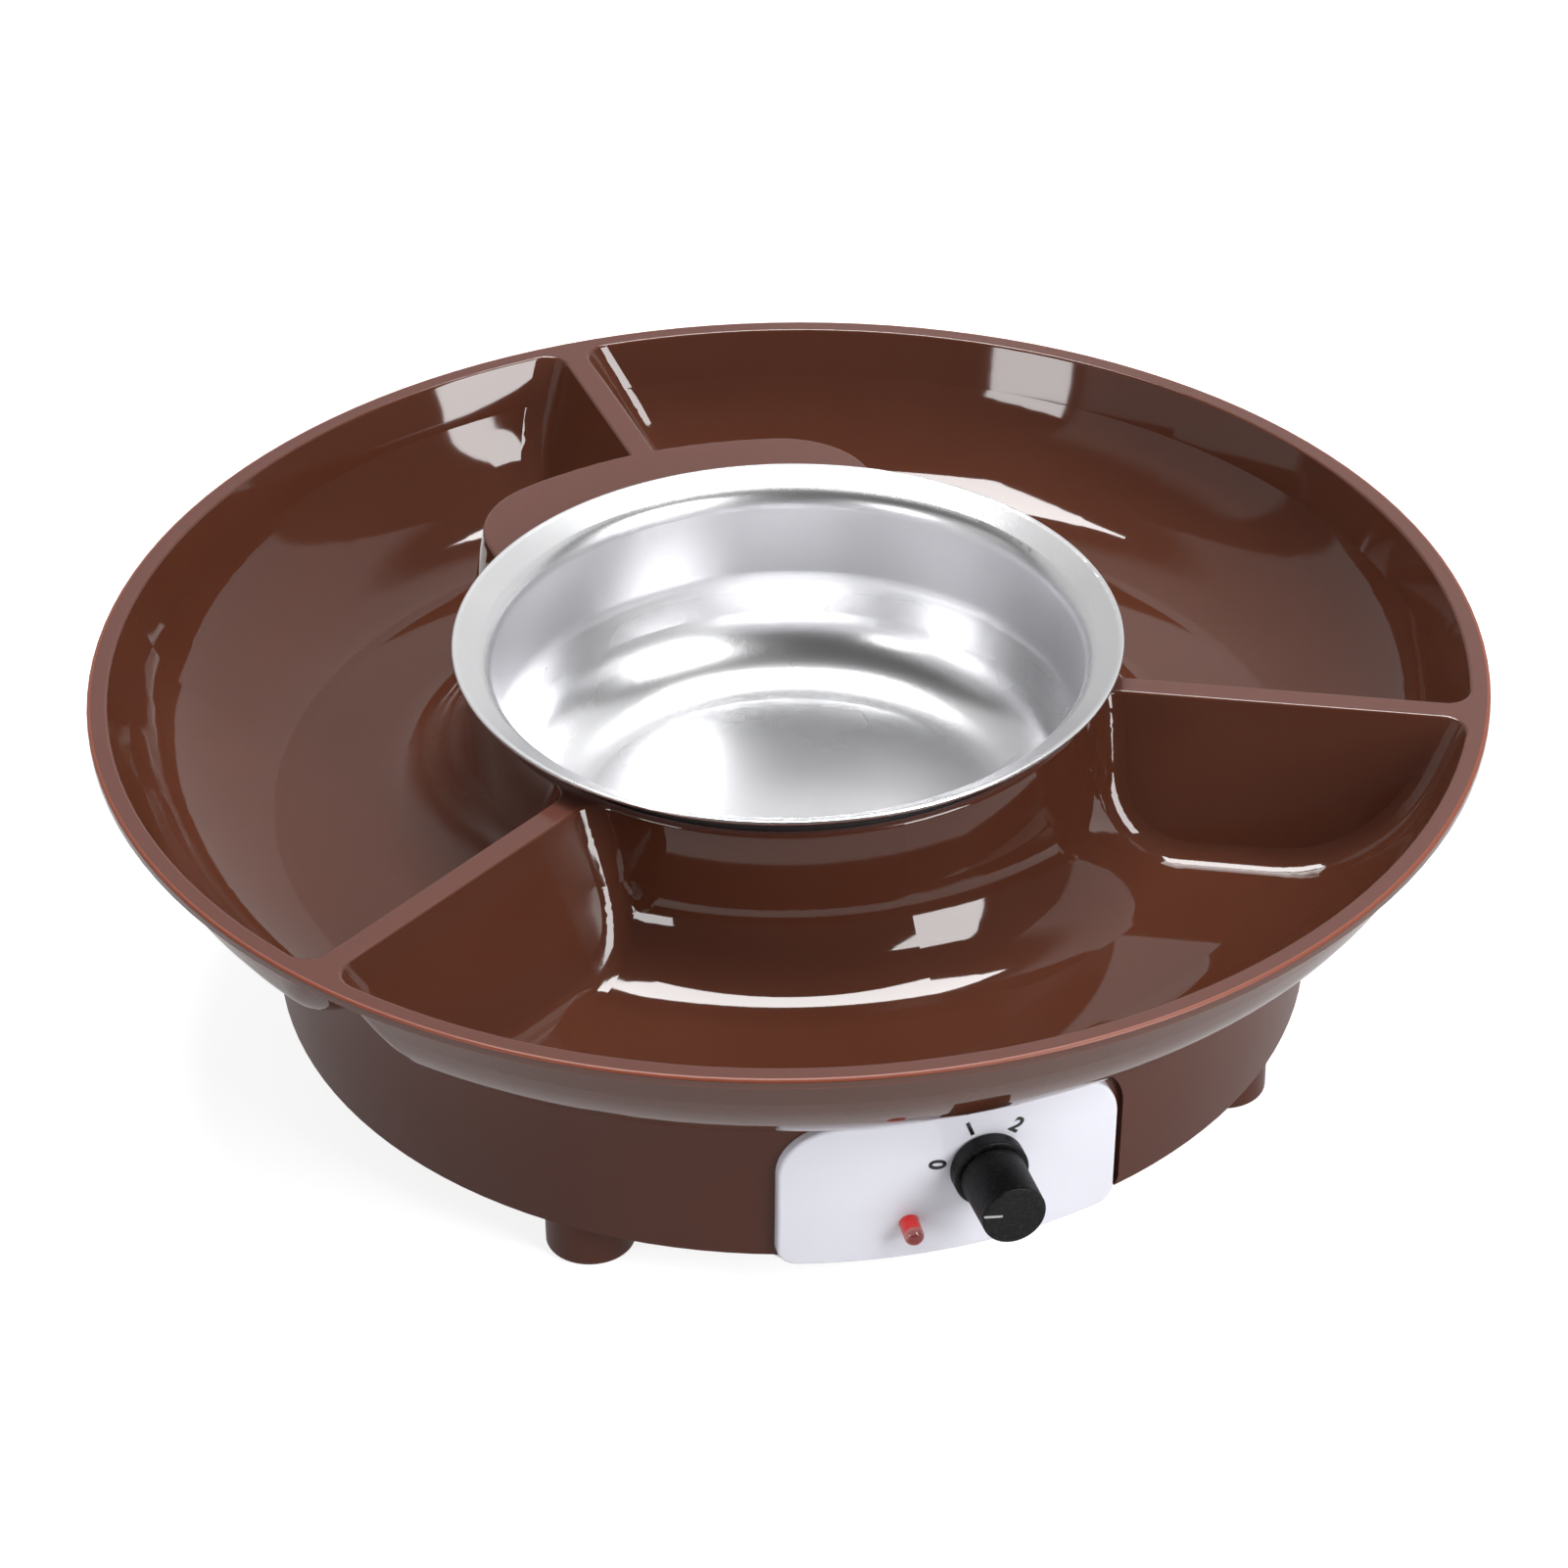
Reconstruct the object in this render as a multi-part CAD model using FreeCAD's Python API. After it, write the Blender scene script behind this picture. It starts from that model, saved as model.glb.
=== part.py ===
import FreeCAD, Part
import math
import os
from FreeCAD import Vector

# Electric chocolate melting pot. Millimetres, +Z up, front towards -Y.
# The origin is on the table, at the middle of the drum.

# Heights
foot_height = 12.0
drum_height = 38.2
trough_depth = 32.0
pot_height = 47.5
pot_above_tray = 6.3

# Tray
tray_radius = 150.0
lip_width = 4.3
tray_wall = 2.0
wall_draft = 22.0
outer_round = 35.0
inner_round = 21.0
collar_radius = 67.5
collar_draft = 10.0
divider_count = 3
divider_width = 5.5
divider_draft = 24.0
divider_corner_round = 6.0
ledge_width = 91.0
ledge_reach = 94.5
ledge_round = 22.0
ledge_draft = 10.0
edge_round = 0.8

# Pot
pot_wall = 1.0
pot_rim_radius = 72.0
pot_rim_land = 0.8
pot_rim_round = 2.0
pot_rim_edge_round = 0.4
pot_flare_rise = 4.1
pot_mouth_radius = 63.8
pot_mouth_round = 5.0
pot_side_draft = 1.5
pot_step_depth = 24.0
pot_step_rise = 2.0
pot_step = 0.5
pot_step_round = 8.0
pot_bowl_draft = 9.0
pot_corner_round = 16.0

# Drum
drum_top_radius = 116.0
drum_bottom_radius = 113.5
drum_wall = 2.5
deck_wall = 2.5
deck_round = 2.0
drum_shoulder_round = 1.5
wall_hole_start = 60.0
turret_wall = 2.0
turret_height = 19.5
turret_play = 0.6
well_depth = 8.0
well_lip_width = 7.0
well_lip_wall = 2.5
fit_gap = 0.1
running_gap = 0.05
seam_gap = 0.3

# Front panel, its angles counted from the drum's front
panel_turn = -3.85
panel_width = 72.5
panel_top_gap = 3.1
panel_drop = 1.3
panel_proud = 2.0
panel_recess = 1.5
panel_top_round = 13.0
panel_bottom_round = 4.0
panel_right_gap = 2.2
panel_boss_radius = 3.0
panel_boss_length = 6.0
panel_boss_spacing = 54.0
panel_boss_height = 21.7
panel_lip_reach = 1.2
panel_lip_width = 3.0
panel_screw_radius = 1.25
panel_screw_length = 5.0
panel_screw_head_radius = 4.0
small_head_height = 1.6
slot_size = 0.8

# Switch and knob
knob_shift = 5.8
knob_height = 32.9
knob_gap = 0.9
knob_length = 17.5
knob_skirt_radius = 7.9
knob_skirt_length = 3.6
knob_skirt_wall = 1.1
knob_skirt_overhang = 0.5
knob_radius = 6.85
knob_taper = 0.15
knob_hub_start = 3.0
knob_groove = 0.4
knob_edge_round = 0.5
knob_back_round = 0.3
pointer_width = 0.7
pointer_length = 4.2
pointer_depth = 0.6
pointer_from_edge = 0.25
pointer_angle = 170.0
shaft_radius = 3.0
shaft_flat = 1.5
shaft_in_knob = 9.0
shaft_inside = 11.0
spring_thickness = 0.4
spring_width = 3.6
spring_from_end = 0.5
bush_radius = 4.5
bush_over_nut = 0.5
nut_across = 11.0
nut_height = 2.0
nut_seat_depth = 0.8
switch_width = 22.0
switch_tall = 18.0
switch_depth = 14.0
switch_pad = 1.8
switch_corner_round = 1.5
blade_width = 4.8
blade_thickness = 0.8
blade_length = 7.0
blade_eye_radius = 0.8
blade_eye_from_end = 2.5

# Pilot light
lamp_turn = -8.8
lamp_height = 20.1
lamp_radius = 1.65
lens_radius = 2.1
lens_proud = 6.0
lens_tip = 2.0
lens_flange = 1.0
lamp_flange_radius = 2.8
lamp_behind_wall = 6.0
lamp_wire_radius = 0.35
lamp_wire_length = 5.5
lamp_wire_spacing = 1.6

# Heater
plate_radius = 48.0
plate_thickness = 5.0
plate_edge_round = 1.0
plate_rib_depth = 2.0
plate_rib_round = 0.5
plate_gap = 1.0
element_wall = 2.5
element_ring_radius = 36.0
element_tube_radius = 3.25
element_bend_radius = 7.0
element_lead_turn = 16.0
element_lead_reach = 56.0
element_pin_radius = 1.5
element_pin_length = 7.0
dish_sheet = 0.8
dish_drop = 3.4
dish_slope = 1.5
dish_play = 0.5
dish_bend = 1.5
dish_screw_grip = 2.0
dish_screw_head_radius = 2.8
gasket_thickness = 1.0
gasket_inset = 0.8
bracket_sheet = 1.5
bracket_arm_width = 12.0
bracket_hub_radius = 30.0
bracket_hole_radius = 18.0
bracket_boss_gap = 6.9238
bracket_below_plate = 10.3
bracket_rib_start = 8.0
stud_circle_radius = 24.0
stud_radius = 2.0
stud_in_plate = 3.0
stud_below_bracket = 5.0
stud_nut_across = 7.0
stud_nut_height = 3.2
spacer_wall = 1.9
thermostat_radius = 8.0
thermostat_cap = 5.0
thermostat_body = 5.0
thermostat_step = 1.2
thermostat_blade_spacing = 7.0
clip_width = 10.0
clip_sheet = 0.8
clip_foot = 7.0
clip_hold = 1.0
clip_hole_radius = 1.6
clip_hole_reach = 3.0
fuse_radius = 2.0
fuse_length = 11.0
fuse_offset = 18.5
fuse_turn = 30.0
fuse_lead_length = 7.0
fuse_lead_radius = 0.5
clamp_width = 5.0
clamp_foot = 3.0

# Underside
foot_count = 4
foot_radius = 9.4
foot_inset = 11.3
foot_edge_round = 1.0
foot_well_radius = 4.4
foot_seat = 4.0
pad_radius = 7.0
pad_thickness = 2.0
pad_edge_round = 0.4
pad_proud = 0.3
cover_wall = 2.5
cover_rim_height = 3.5
cover_rim_gap = 1.0
vent_count = 20
vent_inner_radius = 46.0
vent_outer_radius = 74.0
vent_width = 3.0
boss_radius = 4.5
screw_radius = 1.75
screw_head_radius = 3.5
screw_head_height = 2.2
screw_length = 19.0
short_screw_length = 9.0
pilot_extra = 1.0
cross_length = 2.6
cross_width = 0.7
cross_depth = 1.0

# Mains side
gland_height = 26.7
gland_bore_radius = 3.3
gland_neck_radius = 5.5
gland_flange_radius = 7.5
gland_flange = 2.5
gland_flange_round = 1.2
gland_bore_round = 0.8
gland_tail = 5.0
gland_barb = 1.2
gland_barb_length = 1.5
gland_spot_depth = 0.6
gland_pad_thickness = 1.0
block_turn = -25.0
block_gap = 7.5
block_width = 22.0
block_depth = 16.0
block_height = 13.0
block_chamfer = 1.5
block_well_radius = 2.2
block_well_floor = 6.0
block_screw_radius = 2.0
block_screw_height = 1.8
block_screw_gap = 0.6
wire_hole_radius = 1.6
lead_radius = 1.2
lead_bend = 3.0
lead_above_cover = 5.0
lead_above_bracket = 3.5
lead_straight = 5.0
lead_from_pin = 8.0
lead_hub_radius = 14.0
lead_inner_radius = 41.0
lead_way_radius = 68.0
lead_outer_radius = 76.0

# Heights worked out from the sizes above
drum_bottom = foot_height
deck_top = drum_bottom + drum_height
trough_floor = deck_top + tray_wall
tray_top = trough_floor + trough_depth
pot_rim_top = tray_top + pot_above_tray
plate_top = pot_rim_top - pot_height
plate_under = plate_top - plate_thickness
bracket_top = plate_under - bracket_below_plate
bracket_under = bracket_top - bracket_sheet
well_floor = deck_top - well_depth
cover_top = drum_bottom + cover_wall
over = 3.0

# Circles worked out from the sizes above
trough_radius = tray_radius - lip_width
foot_circle_radius = drum_bottom_radius - foot_inset
cover_rim_radius = foot_circle_radius - boss_radius - cover_rim_gap
block_corner_reach = cover_rim_radius - cover_wall - block_gap
block_circle_radius = math.sqrt(block_corner_reach ** 2 - (block_width / 2) ** 2) - block_depth / 2


def tan(degrees):
    return math.tan(math.radians(degrees))


def cos(degrees):
    return math.cos(math.radians(degrees))


def sin(degrees):
    return math.sin(math.radians(degrees))


def spot(radius, azimuth, height):
    """A point at a radius and an azimuth round the vertical axis."""
    return Vector(radius * cos(azimuth), radius * sin(azimuth), height)


def flat(radius, height):
    """A point of a section, in the XZ plane."""
    return Vector(radius, 0, height)


def rounded(points, radii):
    """Edges along the points, each inner corner rounded by its radius."""
    edges = []
    start = points[0]
    for before, corner, after, radius in zip(points, points[1:], points[2:], radii):
        back = (before - corner).normalize()
        ahead = (after - corner).normalize()
        half_angle = back.getAngle(ahead) / 2
        if radius > 0:
            reach = radius / math.tan(half_angle)
            first = corner + back * reach
            last = corner + ahead * reach
            middle = corner + (back + ahead).normalize() * radius * (1 / math.sin(half_angle) - 1)
            if start.distanceToPoint(first) > 1e-6:
                edges.append(Part.LineSegment(start, first).toShape())
            edges.append(Part.Arc(first, middle, last).toShape())
            start = last
        else:
            edges.append(Part.LineSegment(start, corner).toShape())
            start = corner
    if start.distanceToPoint(points[-1]) > 1e-6:
        edges.append(Part.LineSegment(start, points[-1]).toShape())
    return edges


def outline(points, radii):
    """Face inside a closed outline, with one radius for each corner."""
    count = len(points)
    middle = (points[-1] + points[0]) * 0.5
    path = [middle] + list(points) + [middle]
    return Part.Face(Part.Wire(rounded(path, list(radii)[:count])))


def offset(points, distance):
    """The open path moved sideways in the XZ plane, to its left where distance is positive."""
    normals = []
    for here, there in zip(points, points[1:]):
        along = (there - here).normalize()
        normals.append(Vector(-along.z, 0, along.x))
    moved = [points[0] + normals[0] * distance]
    for corner, first, second in zip(points[1:], normals, normals[1:]):
        moved.append(corner + (first + second) * (distance / (1 + first.dot(second))))
    moved.append(points[-1] + normals[-1] * distance)
    return moved


def sheet(points, radii, thickness):
    """Section of a bent sheet: its one face follows the points, its other lies to their left."""
    other = offset(points, thickness)
    other_radii = []
    for index, radius in enumerate(radii):
        into = points[index + 1] - points[index]
        out = points[index + 2] - points[index + 1]
        left_turn = into.z * out.x - into.x * out.z < 0
        other_radii.append(radius - thickness if left_turn else radius + thickness)
    near = rounded(points, radii)
    far = rounded(other, other_radii)
    ends = [
        Part.LineSegment(points[0], other[0]).toShape(),
        Part.LineSegment(points[-1], other[-1]).toShape(),
    ]
    return Part.Face(Part.Wire(Part.__sortEdges__(near + far + ends)))


def turned(face):
    return face.revolve(Vector(0, 0, 0), Vector(0, 0, 1), 360)


def rod(radius, low, high, x=0.0, y=0.0):
    return Part.makeCylinder(radius, high - low, Vector(x, y, low))


def ring(inner, outer, low, high):
    return rod(outer, low, high).cut(rod(inner, low, high))


def block(x_size, y_size, low, high, x=0.0, y=0.0):
    return Part.makeBox(x_size, y_size, high - low, Vector(x - x_size / 2, y - y_size / 2, low))


def spun(shape, degrees):
    """A copy turned about the vertical axis."""
    copy = shape.copy()
    copy.rotate(Vector(0, 0, 0), Vector(0, 0, 1), degrees)
    return copy


def spread(shape, count, first=0.0):
    """Copies in a full circle."""
    return [spun(shape, first + index * 360 / count) for index in range(count)]


def joined(shapes):
    result = shapes[0]
    for shape in shapes[1:]:
        result = result.fuse(shape)
    return result.removeSplitter()


def group(shapes):
    return Part.makeCompound(shapes)


def to_front(shape, turn, height, shift=0.0):
    """From a front view's own axes, X right, Y up and Z outwards, to the drum's front."""
    copy = shape.copy()
    copy.translate(Vector(shift, 0, 0))
    copy.rotate(Vector(0, 0, 0), Vector(1, 0, 0), 90)
    copy.rotate(Vector(0, 0, 0), Vector(0, 0, 1), turn)
    copy.translate(Vector(0, 0, height))
    return copy


def drum_radius(height):
    share = (height - drum_bottom) / drum_height
    return drum_bottom_radius + (drum_top_radius - drum_bottom_radius) * share


def drum_cone(outwards, low, high):
    """Solid cone with the drum's taper, moved outwards."""
    return Part.makeCone(
        drum_radius(low) + outwards, drum_radius(high) + outwards, high - low, Vector(0, 0, low))


# Where the pieces on the panel sit, measured outwards from the drum's axis
knob_place = (panel_turn, knob_height, knob_shift)
lamp_place = (lamp_turn, lamp_height)
knob_panel_face = math.sqrt((drum_radius(knob_height) + panel_proud) ** 2 - knob_shift ** 2)
nut_seat = knob_panel_face - nut_seat_depth
switch_seat = knob_panel_face - panel_proud - drum_wall - switch_pad
switch_back = switch_seat - switch_depth
blade_tip = switch_back - blade_length
knob_back = knob_panel_face + knob_gap
knob_face = knob_back + knob_length
lamp_panel_face = drum_radius(lamp_height) + panel_proud
lamp_panel_back = drum_radius(lamp_height) - panel_recess + fit_gap
lamp_wall_inside = drum_radius(lamp_height) - drum_wall
boss_panel_back = drum_radius(panel_boss_height) - panel_recess + fit_gap
front_reach = knob_face + 5.0
bracket_reach = blade_tip - bracket_boss_gap - boss_radius
divider_turns = [90 + index * 360 / divider_count for index in range(divider_count)]
foot_turns = [45 + index * 360 / foot_count for index in range(foot_count)]


# Tray

def trough_points():
    """Section of a trough's inner face, from above the collar to above the lip."""
    return [
        flat(collar_radius - over * tan(collar_draft), tray_top + over),
        flat(collar_radius + trough_depth * tan(collar_draft), trough_floor),
        flat(trough_radius - trough_depth * tan(wall_draft), trough_floor),
        flat(trough_radius + over * tan(wall_draft), tray_top + over),
    ]


def divider_half(height, wall):
    """From a divider's middle plane to its drafted face, which the wall's thickness moves back."""
    return divider_width / 2 + (tray_top - height) * tan(divider_draft) - wall / cos(divider_draft)


def sector(wall):
    """What lies between two dividers, around the direction of +X, with their drafted faces."""
    half_angle = 180 / divider_count
    reach = 2 * tray_radius
    rings = []
    for height in (deck_top - over, tray_top + 2 * over):
        apex = divider_half(height, wall) / sin(half_angle)
        rings.append([
            Vector(apex, 0, height),
            Vector(apex + reach * cos(half_angle), -reach * sin(half_angle), height),
            Vector(apex + reach * cos(half_angle), reach * sin(half_angle), height),
        ])
    low, high = rings
    loops = [low, high]
    for index in range(3):
        after = (index + 1) % 3
        loops.append([low[index], low[after], high[after], high[index]])
    faces = [Part.Face(Part.makePolygon(loop + loop[:1])) for loop in loops]
    return Part.Solid(Part.Shell(faces))


def ledge(grow):
    """The thumb ledge behind the collar, drafted, its sides moved outwards by grow."""
    wires = []
    for height in (tray_top + over, deck_top - over):
        spreading = grow + (tray_top - height) * tan(ledge_draft)
        half = ledge_width / 2 + spreading
        reach = ledge_reach + spreading
        corner = ledge_round + spreading
        centre = Vector(half - corner, math.sqrt((reach - corner) ** 2 - (half - corner) ** 2), height)
        outward = Vector(centre.x, centre.y, 0).normalize()
        tip = Vector(outward.x * reach, outward.y * reach, height)
        across = (Vector(1, 0, 0) + outward).normalize()
        bend = centre + across * corner
        side = Vector(half, centre.y, height)
        start = Vector(half, 0, height)

        def mirrored(point):
            return Vector(-point.x, point.y, point.z)

        edges = [
            Part.LineSegment(start, side).toShape(),
            Part.Arc(side, bend, tip).toShape(),
            Part.Arc(tip, Vector(0, reach, height), mirrored(tip)).toShape(),
            Part.Arc(mirrored(tip), mirrored(bend), mirrored(side)).toShape(),
            Part.LineSegment(mirrored(side), mirrored(start)).toShape(),
            Part.LineSegment(mirrored(start), start).toShape(),
        ]
        wires.append(Part.Wire(edges))
    return Part.makeLoft(wires, True, True)


def on_divider_face(edge, wall):
    """Whether an edge of a trough lies on a divider's drafted face, below the top."""
    half_angle = 180 / divider_count
    samples = [edge.valueAt(edge.FirstParameter + (edge.LastParameter - edge.FirstParameter) * share)
               for share in (0.0, 0.3, 0.7, 1.0)]
    if min(point.z for point in samples) > tray_top + over / 2:
        return False
    for side in (-1, 1):
        normal = Vector(sin(half_angle), side * cos(half_angle), 0)
        if all(abs(point.dot(normal) - divider_half(point.z, wall)) < 1e-3 for point in samples):
            return True
    return False


def trough(wall):
    """A trough as a solid, with its outside moved out by the wall."""
    points = offset(trough_points(), -wall)
    radii = [inner_round + wall, outer_round + wall]
    edges = rounded(points, radii)
    edges.append(Part.LineSegment(points[-1], points[0]).toShape())
    solid = turned(Part.Face(Part.Wire(edges))).common(sector(wall))
    chain = [edge for edge in solid.Edges if on_divider_face(edge, wall)]
    return solid.makeFillet(divider_corner_round + wall, chain)


def serving_tray():
    plate = rod(tray_radius, tray_top - tray_wall, tray_top)
    first_turn = divider_turns[0] - 180 / divider_count
    bowls = spread(trough(tray_wall), divider_count, first_turn)
    hollows = spread(trough(0.0), divider_count, first_turn)
    below_top = rod(2 * tray_radius, 0, tray_top)
    bowls = [bowl.common(below_top).cut(ledge(-tray_wall)) for bowl in bowls]
    hollows = [hollow.cut(ledge(0.0)) for hollow in hollows]
    collar_bore = rod(collar_radius - tray_wall / cos(collar_draft), 0, tray_top + over)
    tray = joined([plate] + bowls).cut(collar_bore)
    for hollow in hollows:
        tray = tray.cut(hollow)
    tray = tray.removeSplitter()
    top_edges = []
    for edge in tray.Edges:
        if edge.BoundBox.ZMin > tray_top - 1e-4:
            top_edges.append(edge)
    return tray.makeFillet(edge_round, top_edges)


# Pot

def melting_pot():
    """Pressed pot: a flared rim that levels off at its edge, and a soft step where the bowl begins."""
    floor_top = plate_top + pot_wall
    mouth_height = pot_rim_top - pot_flare_rise
    step_height = pot_rim_top - pot_step_depth
    step_radius = pot_mouth_radius - (mouth_height - step_height) * tan(pot_side_draft)
    bowl_top = step_height - pot_step_rise
    bowl_radius = step_radius - pot_step
    bowl_corner = bowl_radius - (bowl_top - floor_top) * tan(pot_bowl_draft)
    points = [
        flat(0, floor_top),
        flat(bowl_corner, floor_top),
        flat(bowl_radius, bowl_top),
        flat(step_radius, step_height),
        flat(pot_mouth_radius, mouth_height),
        flat(pot_rim_radius - pot_rim_land, pot_rim_top),
        flat(pot_rim_radius, pot_rim_top),
    ]
    radii = [pot_corner_round, pot_step_round, pot_step_round, pot_mouth_round, pot_rim_round]
    pot = turned(sheet(points, radii, -pot_wall))
    rim_edges = [edge for edge in pot.Edges if edge.BoundBox.XMin < 1e-3 - pot_rim_radius]
    return pot.makeFillet(pot_rim_edge_round, rim_edges)


# Drum

def panel_prism(right_gap, other_gap):
    """The panel's outline, grown by the gaps, as a prism running out from the axis."""
    left = -panel_width / 2 - other_gap
    right = panel_width / 2 + right_gap
    top = deck_top - panel_top_gap + other_gap
    bottom = drum_bottom - panel_drop
    points = [
        Vector(left, bottom, 0), Vector(right, bottom, 0), Vector(right, top, 0), Vector(left, top, 0)]
    radii = [panel_bottom_round, panel_bottom_round, panel_top_round, panel_top_round]
    prism = outline(points, radii).extrude(Vector(0, 0, front_reach))
    return to_front(prism, panel_turn, 0)


def panel_boss_places():
    return [-panel_boss_spacing / 2, panel_boss_spacing / 2]


def base_housing():
    turret_outer = collar_radius - turret_play
    turret_inner = turret_outer - turret_wall
    turret_top = deck_top + turret_height
    lip_under = well_floor - well_lip_wall
    section = outline(
        [
            flat(drum_bottom_radius, drum_bottom),
            flat(drum_top_radius, deck_top),
            flat(turret_outer, deck_top),
            flat(turret_outer, turret_top),
            flat(turret_inner, turret_top),
            flat(turret_inner, well_floor),
            flat(turret_inner - well_lip_width, well_floor),
            flat(turret_inner - well_lip_width, lip_under),
            flat(turret_outer, lip_under),
            flat(turret_outer, deck_top - deck_wall),
            flat(drum_radius(deck_top - deck_wall) - drum_wall, deck_top - deck_wall),
            flat(drum_bottom_radius - drum_wall, drum_bottom),
        ],
        [0, drum_shoulder_round, deck_round, edge_round, edge_round, 0, 0, 0, 0, 0, deck_round, 0])
    shell = turned(section)

    deck_middle = deck_top - deck_wall / 2
    foot_boss = rod(boss_radius, cover_top, deck_middle, foot_circle_radius)
    rib_length = drum_radius(cover_top) - foot_circle_radius
    wall_rib = block(
        rib_length, drum_wall, cover_top + cover_rim_height + cover_rim_gap, deck_middle,
        foot_circle_radius + (rib_length - drum_wall) / 2)
    foot_pillar = foot_boss.fuse(wall_rib)
    bracket_boss = rod(boss_radius, bracket_top, deck_middle, bracket_reach)
    deck_rib = block(
        bracket_reach - turret_outer + drum_wall, drum_wall, bracket_top + bracket_rib_start,
        deck_middle, (bracket_reach + turret_outer) / 2)
    bracket_pillar = bracket_boss.fuse(deck_rib)
    switch_block = Part.makeBox(
        switch_width, switch_tall, drum_wall + switch_pad,
        Vector(-switch_width / 2, -switch_tall / 2, switch_seat))
    seat_pad = to_front(switch_block, *knob_place).common(
        drum_cone(-drum_wall / 2, drum_bottom, deck_top))
    gland_pad = Part.makeBox(
        4 * gland_neck_radius, 4 * gland_neck_radius, drum_wall,
        Vector(-2 * gland_neck_radius, -2 * gland_neck_radius, gland_inner_seat()))
    gland_pad = to_front(gland_pad, 180, gland_height).common(
        drum_cone(-drum_wall / 2, drum_bottom, deck_top))
    solid = [shell, seat_pad, gland_pad]
    solid += [spun(foot_pillar, turn) for turn in foot_turns]
    solid += [spun(bracket_pillar, turn) for turn in bracket_turns()]
    housing = joined(solid)

    recess = panel_prism(panel_right_gap, fit_gap).cut(drum_cone(-panel_recess, 0, deck_top + over))
    bush_hole = rod(bush_radius + fit_gap, switch_seat - over, front_reach)
    lamp_hole = rod(lamp_flange_radius + fit_gap, wall_hole_start, front_reach)
    gland_hole = rod(gland_neck_radius + fit_gap, wall_hole_start, front_reach)
    gland_spot = rod(gland_flange_radius + seam_gap, gland_outer_seat(), front_reach)
    cuts = [
        recess,
        to_front(bush_hole, *knob_place),
        to_front(lamp_hole, *lamp_place),
        to_front(gland_hole, 180, gland_height),
        to_front(gland_spot, 180, gland_height),
    ]
    for place in panel_boss_places():
        hole = rod(panel_boss_radius + fit_gap, wall_hole_start, front_reach, place)
        cuts.append(to_front(hole, panel_turn, panel_boss_height))
    pilot = screw_radius + running_gap
    foot_pilot_end = drum_bottom - foot_seat + screw_length + pilot_extra
    foot_pilot = rod(pilot, 0, foot_pilot_end, foot_circle_radius)
    bracket_pilot = rod(pilot, 0, bracket_under + short_screw_length + pilot_extra, bracket_reach)
    lip_pilot = rod(pilot, 0, deck_top, dish_screw_radius())
    cuts += [spun(foot_pilot, turn) for turn in foot_turns]
    cuts += [spun(bracket_pilot, turn) for turn in bracket_turns()]
    cuts += [spun(lip_pilot, turn) for turn in dish_turns()]
    for cut in cuts:
        housing = housing.cut(cut)
    return housing.removeSplitter()


def control_panel():
    """Moulded plate with the drum's curve, its front edges rounded, with two screw bosses behind."""
    low = drum_bottom - panel_drop - over
    high = deck_top
    plate = drum_cone(panel_proud, low, high).cut(drum_cone(fit_gap - panel_recess, low, high))
    plate = plate.common(panel_prism(0.0, 0.0))
    front_edges = [edge for edge in plate.Edges if on_panel_front(edge)]
    plate = plate.makeFillet(edge_round, front_edges)
    bush_hole = rod(bush_radius + fit_gap, 0, front_reach)
    nut_spot = rod(knob_skirt_radius - knob_skirt_overhang, nut_seat, front_reach)
    lens_hole = rod(lens_radius + running_gap, 0, front_reach)
    plate = plate.cut(to_front(bush_hole, *knob_place))
    plate = plate.cut(to_front(nut_spot, *knob_place))
    plate = plate.cut(to_front(lens_hole, *lamp_place))
    lip_top = drum_bottom - fit_gap
    lip = drum_cone(0.0, drum_bottom - panel_drop, lip_top).cut(drum_cone(-panel_lip_width, 0, deck_top))
    lip = lip.common(panel_prism(panel_lip_reach, panel_lip_reach))
    plate = plate.fuse(lip)
    bosses = []
    pilots = []
    for place in panel_boss_places():
        end = boss_end(place)
        boss = rod(panel_boss_radius, end, end + panel_boss_length + panel_recess / 2, place)
        pilot = rod(panel_screw_radius + running_gap, end, end + panel_boss_length, place)
        bosses.append(to_front(boss, panel_turn, panel_boss_height))
        pilots.append(to_front(pilot, panel_turn, panel_boss_height))
    return joined([plate] + bosses).cut(group(pilots))


def on_panel_front(edge):
    """Whether an edge runs round the panel's front face."""
    samples = [edge.valueAt(edge.FirstParameter + (edge.LastParameter - edge.FirstParameter) * share)
               for share in (0.1, 0.5, 0.9)]
    return all(
        abs(math.hypot(point.x, point.y) - drum_radius(point.z) - panel_proud) < 1e-3
        for point in samples)


def boss_end(place):
    """Inner end of a panel boss, outwards from the axis."""
    side_drop = boss_panel_back - math.sqrt(boss_panel_back ** 2 - place ** 2)
    return boss_panel_back - side_drop - panel_boss_length


def panel_screws():
    screws = []
    for place in panel_boss_places():
        end = boss_end(place)
        shank = rod(panel_screw_radius, end - small_head_height / 2, end + panel_screw_length, place)
        head = rod(panel_screw_head_radius, end - small_head_height, end, place)
        slot = block(
            2 * panel_boss_radius, slot_size, end - small_head_height,
            end - small_head_height + slot_size, place)
        one = shank.fuse(head).cut(slot).removeSplitter()
        screws.append(to_front(one, panel_turn, panel_boss_height))
    return group(screws)


# Switch and knob

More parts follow.
